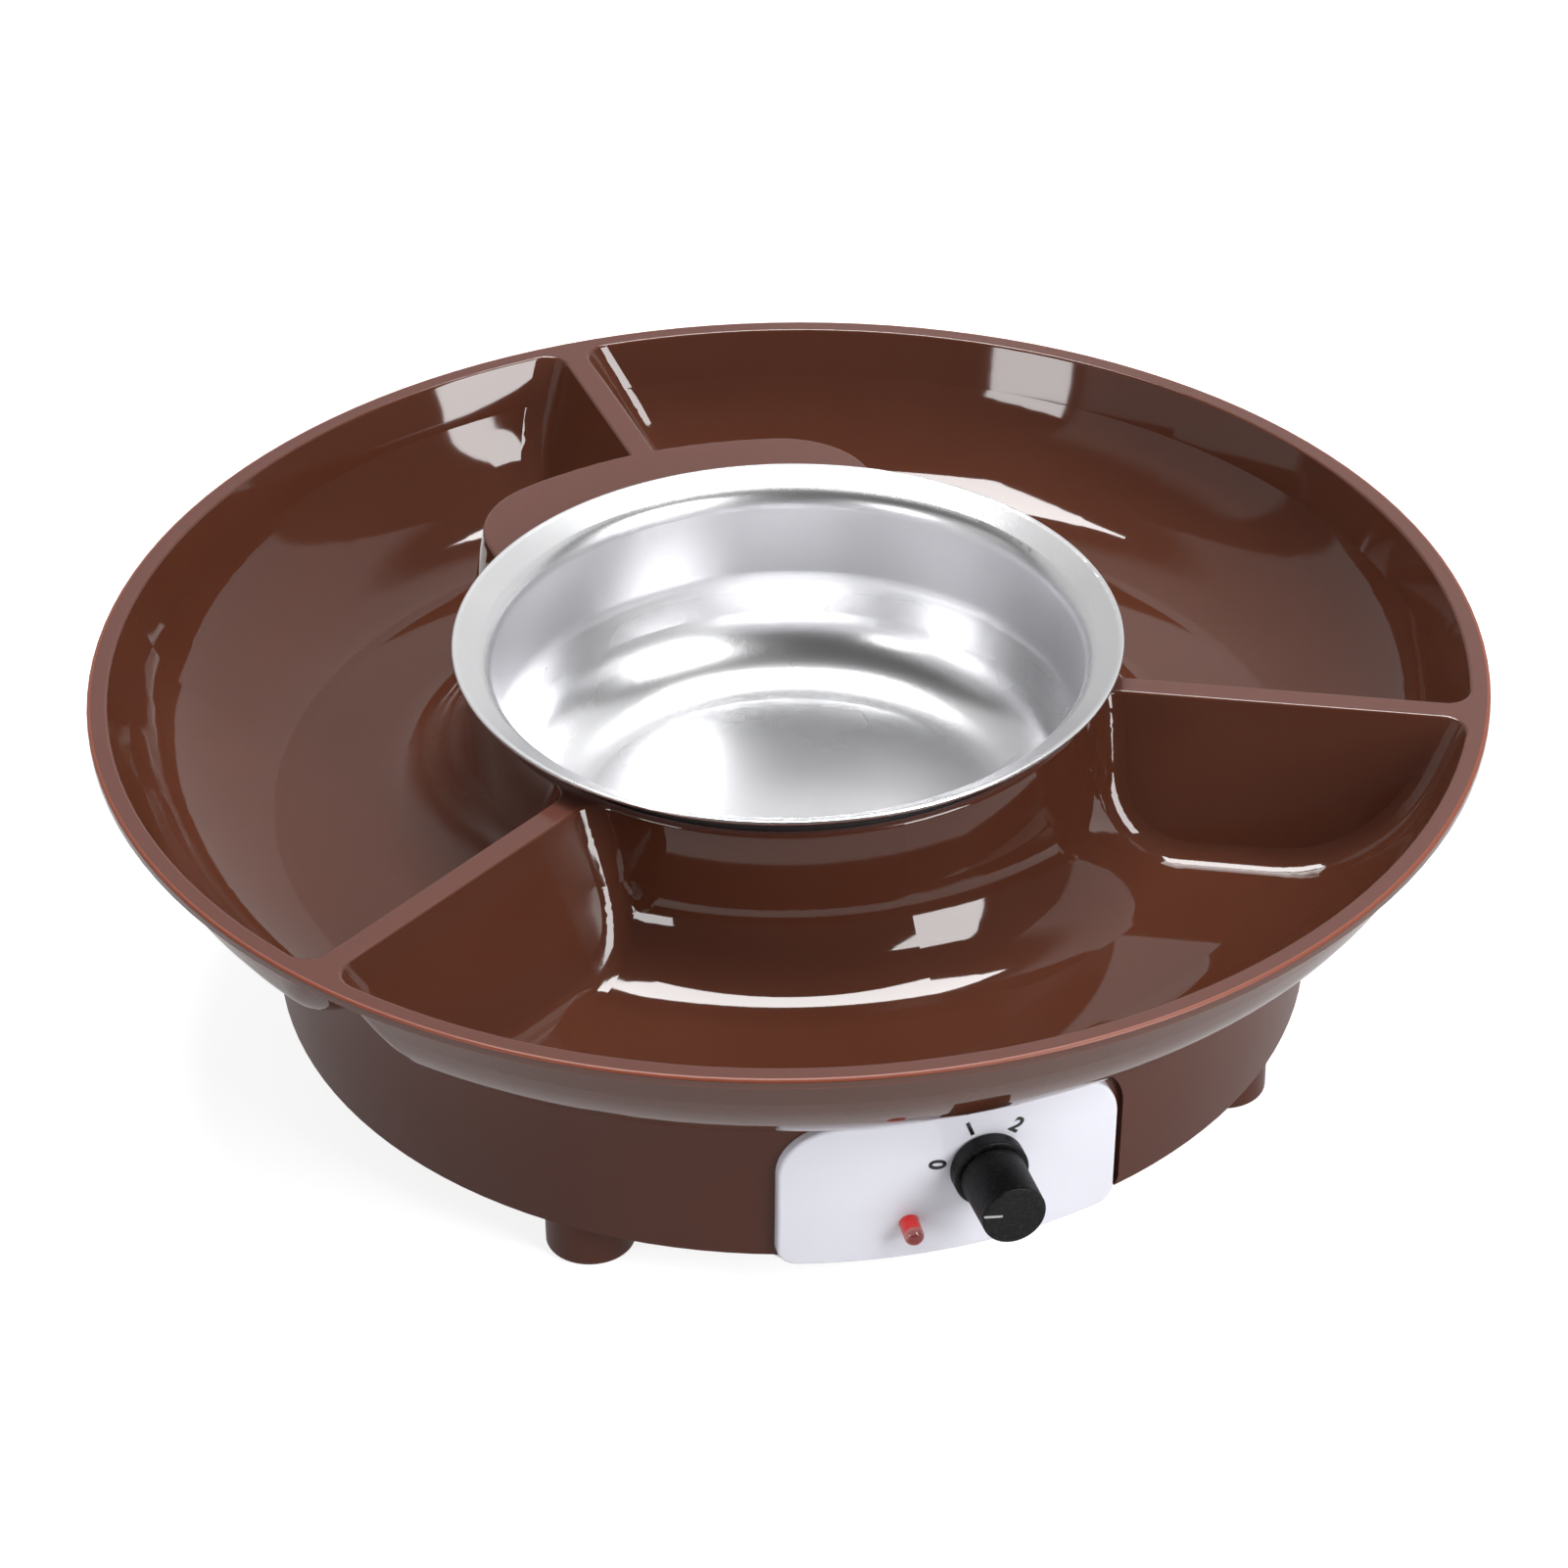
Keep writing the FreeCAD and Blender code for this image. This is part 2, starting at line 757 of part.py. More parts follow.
def switch_body():
    body = outline(
        [
            Vector(-switch_width / 2, -switch_tall / 2, 0),
            Vector(switch_width / 2, -switch_tall / 2, 0),
            Vector(switch_width / 2, switch_tall / 2, 0),
            Vector(-switch_width / 2, switch_tall / 2, 0),
        ],
        [switch_corner_round] * 4).extrude(Vector(0, 0, switch_depth))
    body.translate(Vector(0, 0, switch_back))
    bush = rod(bush_radius, switch_seat - switch_depth / 2, nut_seat + nut_height + bush_over_nut)
    shaft_hole = rod(shaft_radius + running_gap, switch_seat - shaft_inside, front_reach)
    body = body.fuse(bush).cut(shaft_hole).removeSplitter()
    return to_front(body, *knob_place)


def switch_blade_places():
    return [-switch_width / 3, 0.0, switch_width / 3]


def switch_terminals():
    """Three blades that stand out of the switch's back."""
    blades = []
    for place in switch_blade_places():
        blade = block(blade_width, blade_thickness, blade_tip, switch_back, place)
        eye = Part.makeCylinder(
            blade_eye_radius, blade_width,
            Vector(place, -blade_width / 2, blade_tip + blade_eye_from_end), Vector(0, 1, 0))
        blades.append(to_front(blade.cut(eye), *knob_place))
    return group(blades)


def hexagon(across, height, low, hole):
    points = []
    for index in range(6):
        angle = 60 * index + 30
        reach = across / 2 / cos(30)
        points.append(Vector(reach * cos(angle), reach * sin(angle), low))
    face = Part.Face(Part.makePolygon(points + points[:1]))
    return face.extrude(Vector(0, 0, height)).cut(rod(hole, low - 1, low + height + 1))


def switch_nut():
    nut = hexagon(nut_across, nut_height, nut_seat, bush_radius + running_gap)
    return to_front(nut, *knob_place)


def shaft_end():
    return knob_back + knob_hub_start + shaft_in_knob


def switch_shaft():
    """Shaft with a flat on the length that the knob grips."""
    shaft = rod(shaft_radius, switch_seat - shaft_inside, shaft_end())
    flat_cut = Part.makeBox(4 * shaft_radius, shaft_radius, shaft_in_knob,
                            Vector(-2 * shaft_radius, shaft_flat, shaft_end() - shaft_in_knob))
    shaft = shaft.cut(flat_cut)
    shaft.rotate(Vector(0, 0, 0), Vector(0, 0, 1), pointer_angle)
    return to_front(shaft, *knob_place)


def knob():
    """Black knob: a skirt with a groove above it, a tapered grip, and a hub inside."""
    skirt_end = knob_back + knob_skirt_length
    body = outline(
        [
            flat(0, knob_back),
            flat(knob_skirt_radius, knob_back),
            flat(knob_skirt_radius, skirt_end),
            flat(knob_radius - knob_groove, skirt_end),
            flat(knob_radius - knob_groove, skirt_end + knob_groove),
            flat(knob_radius, skirt_end + knob_groove),
            flat(knob_radius - knob_taper, knob_face),
            flat(0, knob_face),
        ],
        [0, knob_back_round, knob_edge_round, 0, 0, 0, knob_edge_round, 0])
    body = turned(body)
    mouth = rod(knob_skirt_radius - knob_skirt_wall, knob_back - over, knob_back + knob_hub_start)
    bore = rod(shaft_radius + running_gap, knob_back, shaft_end() + seam_gap)
    flat_height = shaft_flat + spring_thickness + fit_gap
    land = Part.makeBox(4 * shaft_radius, shaft_radius, front_reach,
                        Vector(-2 * shaft_radius, flat_height, 0))
    bore = bore.cut(land)
    pointer = Part.makeBox(
        pointer_width, pointer_length + over, pointer_depth + over,
        Vector(-pointer_width / 2, knob_radius - knob_taper - pointer_length, knob_face - pointer_depth))
    pointer.rotate(Vector(0, 0, 0), Vector(0, 0, 1), -90)
    body = body.cut(mouth).cut(bore).cut(pointer)
    body.rotate(Vector(0, 0, 0), Vector(0, 0, 1), pointer_angle)
    return to_front(body.removeSplitter(), *knob_place)


def knob_pointer():
    """White bar that fills the slot in the knob's face."""
    slot_end = knob_radius - knob_taper - pointer_length + running_gap
    bar_length = pointer_length - pointer_from_edge - running_gap
    bar = block(
        bar_length, pointer_width - 2 * running_gap, knob_face - pointer_depth, knob_face - fit_gap,
        slot_end + bar_length / 2)
    bar.rotate(Vector(0, 0, 0), Vector(0, 0, 1), pointer_angle)
    return to_front(bar, *knob_place)


def knob_spring():
    """Leaf spring between the shaft's flat and the knob."""
    leaf = block(
        spring_width, spring_thickness, shaft_end() - shaft_in_knob + spring_from_end,
        shaft_end() - spring_from_end, 0, shaft_flat + running_gap + spring_thickness / 2)
    leaf.rotate(Vector(0, 0, 0), Vector(0, 0, 1), pointer_angle)
    return to_front(leaf, *knob_place)


# Pilot light

def indicator_lens():
    """Clear cap pushed through the panel, with a round end and a flange behind."""
    flange_front = lamp_panel_back - seam_gap
    tip = lamp_panel_face + lens_proud
    cap = turned(outline(
        [
            flat(0, tip),
            flat(lens_radius, tip),
            flat(lens_radius, flange_front),
            flat(lamp_flange_radius, flange_front),
            flat(lamp_flange_radius, flange_front - lens_flange),
            flat(0, flange_front - lens_flange),
        ],
        [0, lens_radius * 0.8, 0, 0, 0, 0]))
    hollow = rod(lamp_radius + running_gap, flange_front - lens_flange, tip - lens_tip)
    return to_front(cap.cut(hollow), *lamp_place)


def indicator_lamp():
    """Lamp with a domed end and two wire ends."""
    tip = lamp_panel_face + lens_proud - lens_tip - 2 * fit_gap
    back = lamp_wall_inside - lamp_behind_wall
    lamp = rod(lamp_radius, back, tip - lamp_radius)
    lamp = lamp.fuse(Part.makeSphere(lamp_radius, Vector(0, 0, tip - lamp_radius)))
    for side in (-lamp_wire_spacing / 2, lamp_wire_spacing / 2):
        lamp = lamp.fuse(rod(lamp_wire_radius, back - lamp_wire_length, back + lamp_radius, side))
    return to_front(lamp.removeSplitter(), *lamp_place)


# Heater

def bracket_turns():
    return [30 + index * 120 for index in range(3)]


def dish_turns():
    return [90 + index * 120 for index in range(3)]


def dish_screw_radius():
    return collar_radius - turret_play - turret_wall - well_lip_width / 2


def heater_plate():
    """Cast disc with a rib underneath that holds the ring element, and blind holes for the studs."""
    groove = element_tube_radius + running_gap
    rib_half = groove + element_wall
    rib_under = plate_under - plate_rib_depth
    disc = turned(outline(
        [
            flat(0, plate_top),
            flat(plate_radius, plate_top),
            flat(plate_radius, plate_under),
            flat(element_ring_radius + rib_half, plate_under),
            flat(element_ring_radius + rib_half, rib_under),
            flat(element_ring_radius - rib_half, rib_under),
            flat(element_ring_radius - rib_half, plate_under),
            flat(0, plate_under),
        ],
        [0, plate_edge_round, plate_rib_round, 0, plate_rib_round, plate_rib_round, 0, 0]))
    disc = disc.cut(element_tube(groove))
    stud_hole = rod(stud_radius + running_gap, 0, plate_under + stud_in_plate, stud_circle_radius)
    for turn in bracket_turns():
        disc = disc.cut(spun(stud_hole, turn))
    return disc.removeSplitter()


def at_element(radius, azimuth):
    return spot(radius, azimuth, plate_under - plate_rib_depth)


def element_tube(tube_radius):
    """Ring, open at the back, whose two ends turn outwards."""
    bend_centre = element_ring_radius + element_bend_radius
    swing = math.degrees(math.asin(element_bend_radius / bend_centre))
    lead_start = math.sqrt(bend_centre ** 2 - element_bend_radius ** 2)
    edges = []
    for side in (1, -1):
        lead = 90 - side * element_lead_turn
        centre_turn = lead - side * swing
        centre = at_element(bend_centre, centre_turn)
        first = at_element(element_ring_radius, centre_turn)
        last = at_element(lead_start, lead)
        bulge = ((first - centre).normalize() + (last - centre).normalize()).normalize()
        edges.append(Part.LineSegment(at_element(element_lead_reach, lead), last).toShape())
        edges.append(Part.Arc(last, centre + bulge * element_bend_radius, first).toShape())
    ring_start = 90 - element_lead_turn - swing
    edges.append(Part.Arc(
        at_element(element_ring_radius, ring_start), at_element(element_ring_radius, -90),
        at_element(element_ring_radius, 180 - ring_start)).toShape())
    path = Part.Wire(Part.__sortEdges__(edges))
    lead = 90 - element_lead_turn
    outwards = at_element(1, lead) - at_element(0, lead)
    profile = Part.Wire(Part.makeCircle(tube_radius, at_element(element_lead_reach, lead), outwards))
    return path.makePipeShell([profile], True, False)


def heating_element():
    """Tubular element with a pin at each end."""
    pins = []
    for side in (1, -1):
        lead = 90 - side * element_lead_turn
        outwards = at_element(1, lead) - at_element(0, lead)
        pins.append(Part.makeCylinder(
            element_pin_radius, 2 * element_pin_length,
            at_element(element_lead_reach - element_pin_length, lead), outwards))
    return joined([element_tube(element_tube_radius)] + pins)


def dish_flange_under():
    return well_floor + gasket_thickness


def heat_reflector():
    """Pressed dish from the well's lip down to the edge of the hot plate."""
    turret_inner = collar_radius - turret_play - turret_wall
    high = dish_flange_under()
    low = high - dish_drop
    flank = turret_inner - well_lip_width - dish_play
    points = [
        flat(plate_radius + plate_gap, low),
        flat(flank - dish_slope, low),
        flat(flank, high),
        flat(turret_inner - dish_play, high),
    ]
    dish = turned(sheet(points, [dish_bend, dish_bend], dish_sheet))
    hole = rod(screw_radius + fit_gap, 0, deck_top, dish_screw_radius())
    for turn in dish_turns():
        dish = dish.cut(spun(hole, turn))
    return dish


def heater_gasket():
    turret_inner = collar_radius - turret_play - turret_wall
    gasket = ring(
        turret_inner - well_lip_width + gasket_inset, turret_inner - seam_gap, well_floor,
        dish_flange_under())
    hole = rod(screw_radius + fit_gap, 0, deck_top, dish_screw_radius())
    for turn in dish_turns():
        gasket = gasket.cut(spun(hole, turn))
    return gasket


def screw(length, head_radius, head_height):
    """A screw that points up, its head under z = 0, with a cross recess."""
    shank = rod(screw_radius, -head_height / 4, length)
    head = rod(head_radius, -head_height, 0)
    recess = block(cross_length, cross_width, -head_height, cross_depth - head_height)
    recess = recess.fuse(block(cross_width, cross_length, -head_height, cross_depth - head_height))
    return shank.fuse(head).cut(recess).removeSplitter()


def dish_screws():
    """Screws that hold the dish down on the well's lip."""
    length = dish_sheet + gasket_thickness + well_lip_wall + dish_screw_grip
    short = screw(length, dish_screw_head_radius, small_head_height)
    short.rotate(Vector(0, 0, 0), Vector(1, 0, 0), 180)
    short.translate(Vector(dish_screw_radius(), 0, dish_flange_under() + dish_sheet))
    return group([spun(short, turn) for turn in dish_turns()])


def heater_bracket():
    arms = [rod(bracket_hub_radius, bracket_under, bracket_top)]
    for turn in bracket_turns():
        arm = block(bracket_reach, bracket_arm_width, bracket_under, bracket_top, bracket_reach / 2)
        end = rod(bracket_arm_width / 2, bracket_under, bracket_top, bracket_reach)
        arms.append(spun(arm.fuse(end), turn))
    star = joined(arms).cut(rod(bracket_hole_radius, 0, deck_top))
    screw_hole = rod(screw_radius + fit_gap, 0, deck_top, bracket_reach)
    stud_hole = rod(stud_radius + fit_gap, 0, deck_top, stud_circle_radius)
    for turn in bracket_turns():
        star = star.cut(spun(screw_hole, turn)).cut(spun(stud_hole, turn))
    return star


def bracket_screws():
    one = screw(short_screw_length, screw_head_radius, screw_head_height)
    one.translate(Vector(bracket_reach, 0, bracket_under))
    return group([spun(one, turn) for turn in bracket_turns()])


def heater_studs():
    low = bracket_under - stud_below_bracket
    stud = rod(stud_radius, low, plate_under + stud_in_plate, stud_circle_radius)
    return group([spun(stud, turn) for turn in bracket_turns()])


def heater_spacers():
    spacer = ring(stud_radius + fit_gap, stud_radius + spacer_wall, bracket_top, plate_under)
    spacer.translate(Vector(stud_circle_radius, 0, 0))
    return group([spun(spacer, turn) for turn in bracket_turns()])


def heater_nuts():
    nut = hexagon(
        stud_nut_across, stud_nut_height, bracket_under - stud_nut_height, stud_radius + running_gap)
    nut.translate(Vector(stud_circle_radius, 0, 0))
    return group([spun(nut, turn) for turn in bracket_turns()])


def thermostat_shoulder():
    return plate_under - thermostat_cap


def thermostat():
    """Snap-action thermostat: a wide cap against the plate, a narrower body, two blades."""
    shoulder = thermostat_shoulder()
    cap = rod(thermostat_radius, shoulder, plate_under)
    back = shoulder - thermostat_body
    body = rod(thermostat_radius - thermostat_step, back, shoulder)
    blades = []
    for side in (-1, 1):
        blades.append(block(
            blade_thickness, blade_width, back - blade_length, back,
            side * thermostat_blade_spacing / 2))
    return joined([cap, body] + blades)


def thermostat_clip():
    """Strip bent to a hat that presses the thermostat on the plate, with a screw hole in each foot."""
    shoulder = thermostat_shoulder()
    inner = thermostat_radius + fit_gap
    points = [
        flat(thermostat_radius - clip_hold, shoulder - clip_sheet),
        flat(inner + clip_sheet, shoulder - clip_sheet),
        flat(inner + clip_sheet, plate_under - clip_sheet),
        flat(inner + clip_foot, plate_under - clip_sheet),
    ]
    hat = turned(sheet(points, [0, 0], clip_sheet))
    ears = block(4 * thermostat_radius + 2 * clip_foot, clip_width, 0, plate_under)
    hat = hat.common(ears.fuse(rod(inner + clip_sheet, 0, plate_under)))
    for side in (-1, 1):
        hat = hat.cut(rod(clip_hole_radius, 0, deck_top, side * (inner + clip_sheet + clip_hole_reach)))
    hat.rotate(Vector(0, 0, 0), Vector(0, 0, 1), 90)
    return hat


def fuse_height():
    return plate_under - fuse_radius - running_gap


def along_fuse(radius, length):
    """A rod on the cut-out's axis, half to each side of its middle."""
    start = Vector(-fuse_offset, -length / 2, fuse_height())
    return Part.makeCylinder(radius, length, start, Vector(0, 1, 0))


def thermal_fuse():
    """Cut-out in a small can, lying against the hot plate."""
    can = along_fuse(fuse_radius, fuse_length)
    wire = along_fuse(fuse_lead_radius, fuse_length + 2 * fuse_lead_length)
    return spun(can.fuse(wire).removeSplitter(), fuse_turn)


def fuse_clamp():
    """Saddle that holds the cut-out against the plate."""
    inner = fuse_radius + fit_gap
    outer = inner + clip_sheet
    saddle = along_fuse(outer, clamp_width)
    saddle = saddle.fuse(block(2 * outer, clamp_width, fuse_height(), plate_under, -fuse_offset))
    saddle = saddle.fuse(block(
        2 * (outer + clamp_foot), clamp_width, plate_under - clip_sheet, plate_under, -fuse_offset))
    hollow = along_fuse(inner, 2 * clamp_width)
    hollow = hollow.fuse(block(2 * inner, 2 * clamp_width, fuse_height(), plate_under + over, -fuse_offset))
    return spun(saddle.cut(hollow).removeSplitter(), fuse_turn)


# Underside

def bottom_cover():
    """Moulded plate with radial vents, a stiffening rim and holes for the screws."""
    radius = drum_bottom_radius - drum_wall - seam_gap
    plate = rod(radius, drum_bottom, cover_top)
    rim_low = cover_top - cover_wall / 2
    rim_high = cover_top + cover_rim_height
    rim = ring(cover_rim_radius - cover_wall, cover_rim_radius, rim_low, rim_high)
    inner_rim = ring(
        vent_inner_radius - 2 * cover_wall, vent_inner_radius - cover_wall, rim_low, rim_high)
    slot = block(
        vent_outer_radius - vent_inner_radius - vent_width, vent_width, 0, deck_top,
        (vent_outer_radius + vent_inner_radius) / 2)
    slot = slot.fuse(rod(vent_width / 2, 0, deck_top, vent_inner_radius + vent_width / 2))
    slot = slot.fuse(rod(vent_width / 2, 0, deck_top, vent_outer_radius - vent_width / 2))
    cover = joined([plate, rim, inner_rim])
    cover = cover.cut(group(spread(slot, vent_count, 180 / vent_count)))
    screw_hole = rod(screw_radius + fit_gap, 0, deck_top, foot_circle_radius)
    for turn in foot_turns:
        cover = cover.cut(spun(screw_hole, turn))
    return cover


def foot():
    seat = drum_bottom - foot_seat
    hole = screw_radius + fit_gap
    return turned(outline(
        [
            flat(hole, drum_bottom),
            flat(foot_radius, drum_bottom),
            flat(foot_radius, pad_proud),
            flat(pad_radius + fit_gap, pad_proud),
            flat(pad_radius + fit_gap, pad_thickness),
            flat(foot_well_radius, pad_thickness),
            flat(foot_well_radius, seat),
            flat(hole, seat),
        ],
        [0, 0, foot_edge_round, 0, 0, 0, 0, 0]))


def feet():
    one = foot()
    one.translate(Vector(foot_circle_radius, 0, 0))
    return group([spun(one, turn) for turn in foot_turns])


def foot_pads():
    pad = turned(outline(
        [flat(0, 0), flat(pad_radius, 0), flat(pad_radius, pad_thickness), flat(0, pad_thickness)],
        [0, pad_edge_round, 0, 0]))
    pad.translate(Vector(foot_circle_radius, 0, 0))
    return group([spun(pad, turn) for turn in foot_turns])


def cover_screws():
    one = screw(screw_length, screw_head_radius, screw_head_height)
    one.translate(Vector(foot_circle_radius, 0, drum_bottom - foot_seat))
    return group([spun(one, turn) for turn in foot_turns])


# Mains side

def gland_outer_seat():
    return drum_radius(gland_height - gland_flange_radius) - gland_spot_depth


def gland_inner_seat():
    return drum_radius(gland_height) - drum_wall - gland_pad_thickness


def cord_gland():
    """Bush that snaps into the rear wall, with a bore for the mains lead."""
    outer = gland_outer_seat()
    inner = gland_inner_seat()
    bush = turned(outline(
        [
            flat(gland_bore_radius, inner - gland_tail),
            flat(gland_neck_radius, inner - gland_tail),
            flat(gland_neck_radius + gland_barb, inner - gland_barb_length),
            flat(gland_neck_radius + gland_barb, inner - fit_gap),
            flat(gland_neck_radius, inner - fit_gap),
            flat(gland_neck_radius, outer + fit_gap),
            flat(gland_flange_radius, outer + fit_gap),
            flat(gland_flange_radius, outer + gland_flange),
            flat(gland_bore_radius, outer + gland_flange),
        ],
        [0, 0, 0, 0, 0, 0, 0, gland_flange_round, gland_bore_round]))
    return to_front(bush, 180, gland_height)


def terminal_block():
    """Two-way block on the cover, with screw wells and wire holes."""
    body = block(block_width, block_depth, cover_top, cover_top + block_height)
    top_edges = [edge for edge in body.Edges if edge.BoundBox.ZMin > cover_top + block_height - 1e-3]
    body = body.makeChamfer(block_chamfer, top_edges)
    for side in (-1, 1):
        x = side * block_width / 4
        body = body.cut(rod(block_well_radius, cover_top + block_well_floor, deck_top, x))
        wire_hole = Part.makeCylinder(
            wire_hole_radius, 2 * block_depth, Vector(x, -block_depth, cover_top + lead_above_cover),
            Vector(0, 1, 0))
        body = body.cut(wire_hole)
    body.translate(Vector(0, block_circle_radius, 0))
    return spun(body, block_turn)


def block_screws():
    low = cover_top + block_well_floor + block_screw_gap
    high = low + block_screw_height
    screws = []
    for side in (-1, 1):
        x = side * block_width / 4
        head = rod(block_screw_radius, low, high, x)
        slot = block(3 * block_screw_radius, slot_size, high - slot_size, high, x)
        one = head.cut(slot)
        one.translate(Vector(0, block_circle_radius, 0))
        screws.append(spun(one, block_turn))
    return group(screws)


def sleeve(points):
    """A sleeved wire along the points, with its corners bent."""
    path = Part.Wire(rounded(points, [lead_bend] * (len(points) - 2)))
    profile = Part.Wire(Part.makeCircle(lead_radius, points[0], points[1] - points[0]))
    return path.makePipeShell([profile], True, False)


def inner_leads():
    """Wires from the block through the switch, thermostat and cut-out to the element and back."""
    low = cover_top + lead_above_cover
    high = bracket_top + lead_above_bracket
    blade_end = blade_tip - seam_gap
    pin_end = element_lead_reach + element_pin_length + seam_gap
    left_pin = 90 + element_lead_turn
    right_pin = 90 - element_lead_turn

    def at_block(side, beyond):
        place = Part.Vertex(side * block_width / 4, block_circle_radius - block_depth / 2 - beyond, low)
        return spun(place, block_turn).Point

    def at_blade(index, beyond):
        place = Part.Vertex(switch_blade_places()[index], 0, blade_end - beyond)
        return to_front(place, *knob_place).Point

    def at_fuse(side, beyond):
        reach = fuse_length / 2 + fuse_lead_length + seam_gap + beyond
        return spun(Part.Vertex(-fuse_offset, side * reach, fuse_height()), fuse_turn).Point

    def at_thermostat(side):
        return Vector(side * thermostat_blade_spacing / 2, 0, low)

    def below(point):
        return Vector(point.x, point.y, low)

    block_to_switch = [
        at_block(1, -lead_straight), at_block(1, lead_straight), spot(lead_way_radius, 20, low),
        spot(lead_way_radius, -25, low), spot(lead_way_radius, -62, low),
        below(at_blade(2, lead_straight)), at_blade(2, lead_straight), at_blade(2, 0),
    ]
    switch_to_thermostat = [
        at_blade(0, 0), at_blade(0, lead_straight), below(at_blade(0, lead_straight)),
        spot(lead_inner_radius, -80, low), at_thermostat(1),
    ]
    thermostat_to_fuse = [
        at_thermostat(-1), spot(lead_hub_radius, -138, low), spot(lead_hub_radius, -132, high),
        at_fuse(-1, lead_straight), at_fuse(-1, 0),
    ]
    fuse_to_element = [
        at_fuse(1, 0), at_fuse(1, lead_straight), spot(bracket_hub_radius, 161, high),
        spot(lead_inner_radius, 157, high), spot(lead_outer_radius, 112, high),
        at_element(pin_end + lead_from_pin, left_pin), at_element(pin_end, left_pin),
    ]
    element_to_block = [
        at_element(pin_end, right_pin), at_element(pin_end + lead_from_pin, right_pin),
        spot(lead_way_radius, 86, low), at_block(-1, lead_straight), at_block(-1, -lead_straight),
    ]
    routes = [
        block_to_switch, switch_to_thermostat, thermostat_to_fuse, fuse_to_element, element_to_block]
    return group([sleeve(route) for route in routes])


makers = [
    base_housing, bottom_cover, control_panel, panel_screws, switch_body, switch_terminals,
    switch_nut, switch_shaft, knob, knob_pointer, knob_spring, indicator_lens, indicator_lamp,
    heater_plate, heating_element, heat_reflector, heater_gasket, dish_screws, heater_bracket,
    bracket_screws, heater_studs, heater_spacers, heater_nuts, thermostat, thermostat_clip,
    thermal_fuse, fuse_clamp, feet, foot_pads, cover_screws, cord_gland, terminal_block,
    block_screws, inner_leads, serving_tray, melting_pot,
]

os.makedirs("parts", exist_ok=True)
for maker in makers:
    shape = maker()
    box = shape.BoundBox
    print(f"{maker.__name__:18s} solids {len(shape.Solids)} valid {shape.isValid()} "
          f"volume {shape.Volume:10.1f}  z {box.ZMin:6.2f} to {box.ZMax:6.2f}")
    shape.exportStep(f"parts/{maker.__name__}.step")
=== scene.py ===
# %% [markdown]
# # Chocolate melting pot
# The real object is an electric warmer: a brown drum with a hot plate, a loose serving tray with three
# troughs, and an aluminium pot that drops through the tray's collar. Its shapes come from the packed
# solid model, which this lesson never changes. What is left for Blender is the finish of every surface,
# the printed dial, the light and the camera. The frame is loaded first, and its box is kept: the table
# is set just under it, and the dressed model's own box is printed at the end.

# %% Load the frame
from math import cos, pi, radians, sin, sqrt, tan

import bmesh
import bpy
from mathutils import Matrix, Vector


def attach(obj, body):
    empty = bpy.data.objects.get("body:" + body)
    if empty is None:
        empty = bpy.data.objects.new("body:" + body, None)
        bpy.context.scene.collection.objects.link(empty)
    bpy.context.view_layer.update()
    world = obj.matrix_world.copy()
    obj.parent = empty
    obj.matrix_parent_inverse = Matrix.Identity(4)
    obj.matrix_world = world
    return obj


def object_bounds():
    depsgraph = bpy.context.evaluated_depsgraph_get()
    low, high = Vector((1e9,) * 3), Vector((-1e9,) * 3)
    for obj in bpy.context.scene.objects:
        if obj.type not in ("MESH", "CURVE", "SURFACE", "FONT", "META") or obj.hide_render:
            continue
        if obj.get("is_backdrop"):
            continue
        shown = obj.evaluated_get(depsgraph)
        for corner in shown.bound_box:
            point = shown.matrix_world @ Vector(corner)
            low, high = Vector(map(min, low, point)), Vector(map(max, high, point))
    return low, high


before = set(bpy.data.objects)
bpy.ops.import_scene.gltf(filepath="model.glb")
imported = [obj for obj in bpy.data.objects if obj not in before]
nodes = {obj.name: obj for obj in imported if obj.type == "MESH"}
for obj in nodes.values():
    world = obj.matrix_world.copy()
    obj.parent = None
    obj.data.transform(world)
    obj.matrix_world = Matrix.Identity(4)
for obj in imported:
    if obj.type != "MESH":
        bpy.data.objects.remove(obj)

mm = 0.001
cad_low, cad_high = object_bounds()
print("nodes", len(nodes), "height in mm", round((cad_high[2] - cad_low[2]) / mm, 1))

# %% [markdown]
# ## Camera
# The camera could be set by eye. Here the tray's round lip and the pot's rim were measured in the
# photograph instead: the shapes of two known circles give the distance, the height and the focal length.
# The view is a long lens, about 1.1 m away, looking 32.5 degrees down, a little to the left of the front.

# %% Camera at the photograph's view
photo_width = 1601
focal_pixels = 5189.6
film_width = 36
camera_distance = 1092.3 * mm
camera_down = radians(32.483)
camera_side = radians(-20.3)
tray_top = 84.2 * mm
small_turns = (("Y", 0.0011123), ("X", -0.0248386), ("Z", -0.0130193))

turn = Matrix.Rotation(camera_side, 3, "Z") @ Matrix.Rotation(pi / 2 - camera_down, 3, "X")
for axis, angle in small_turns:
    turn = turn @ Matrix.Rotation(angle, 3, axis)
backwards = Matrix.Rotation(camera_side, 3, "Z") @ Vector((0, -cos(camera_down), sin(camera_down)))
stand = backwards * camera_distance + Vector((0, 0, tray_top))

lens = bpy.data.cameras.new("camera")
lens.sensor_width = film_width
lens.lens = focal_pixels * film_width / photo_width
lens.clip_start = 50 * mm
camera = bpy.data.objects.new("camera", lens)
camera.matrix_world = Matrix.Translation(stand) @ turn.to_4x4()
bpy.context.scene.collection.objects.link(camera)
bpy.context.scene.camera = camera
print("camera at", [round(value, 3) for value in stand], "lens", round(lens.lens, 1), "mm")

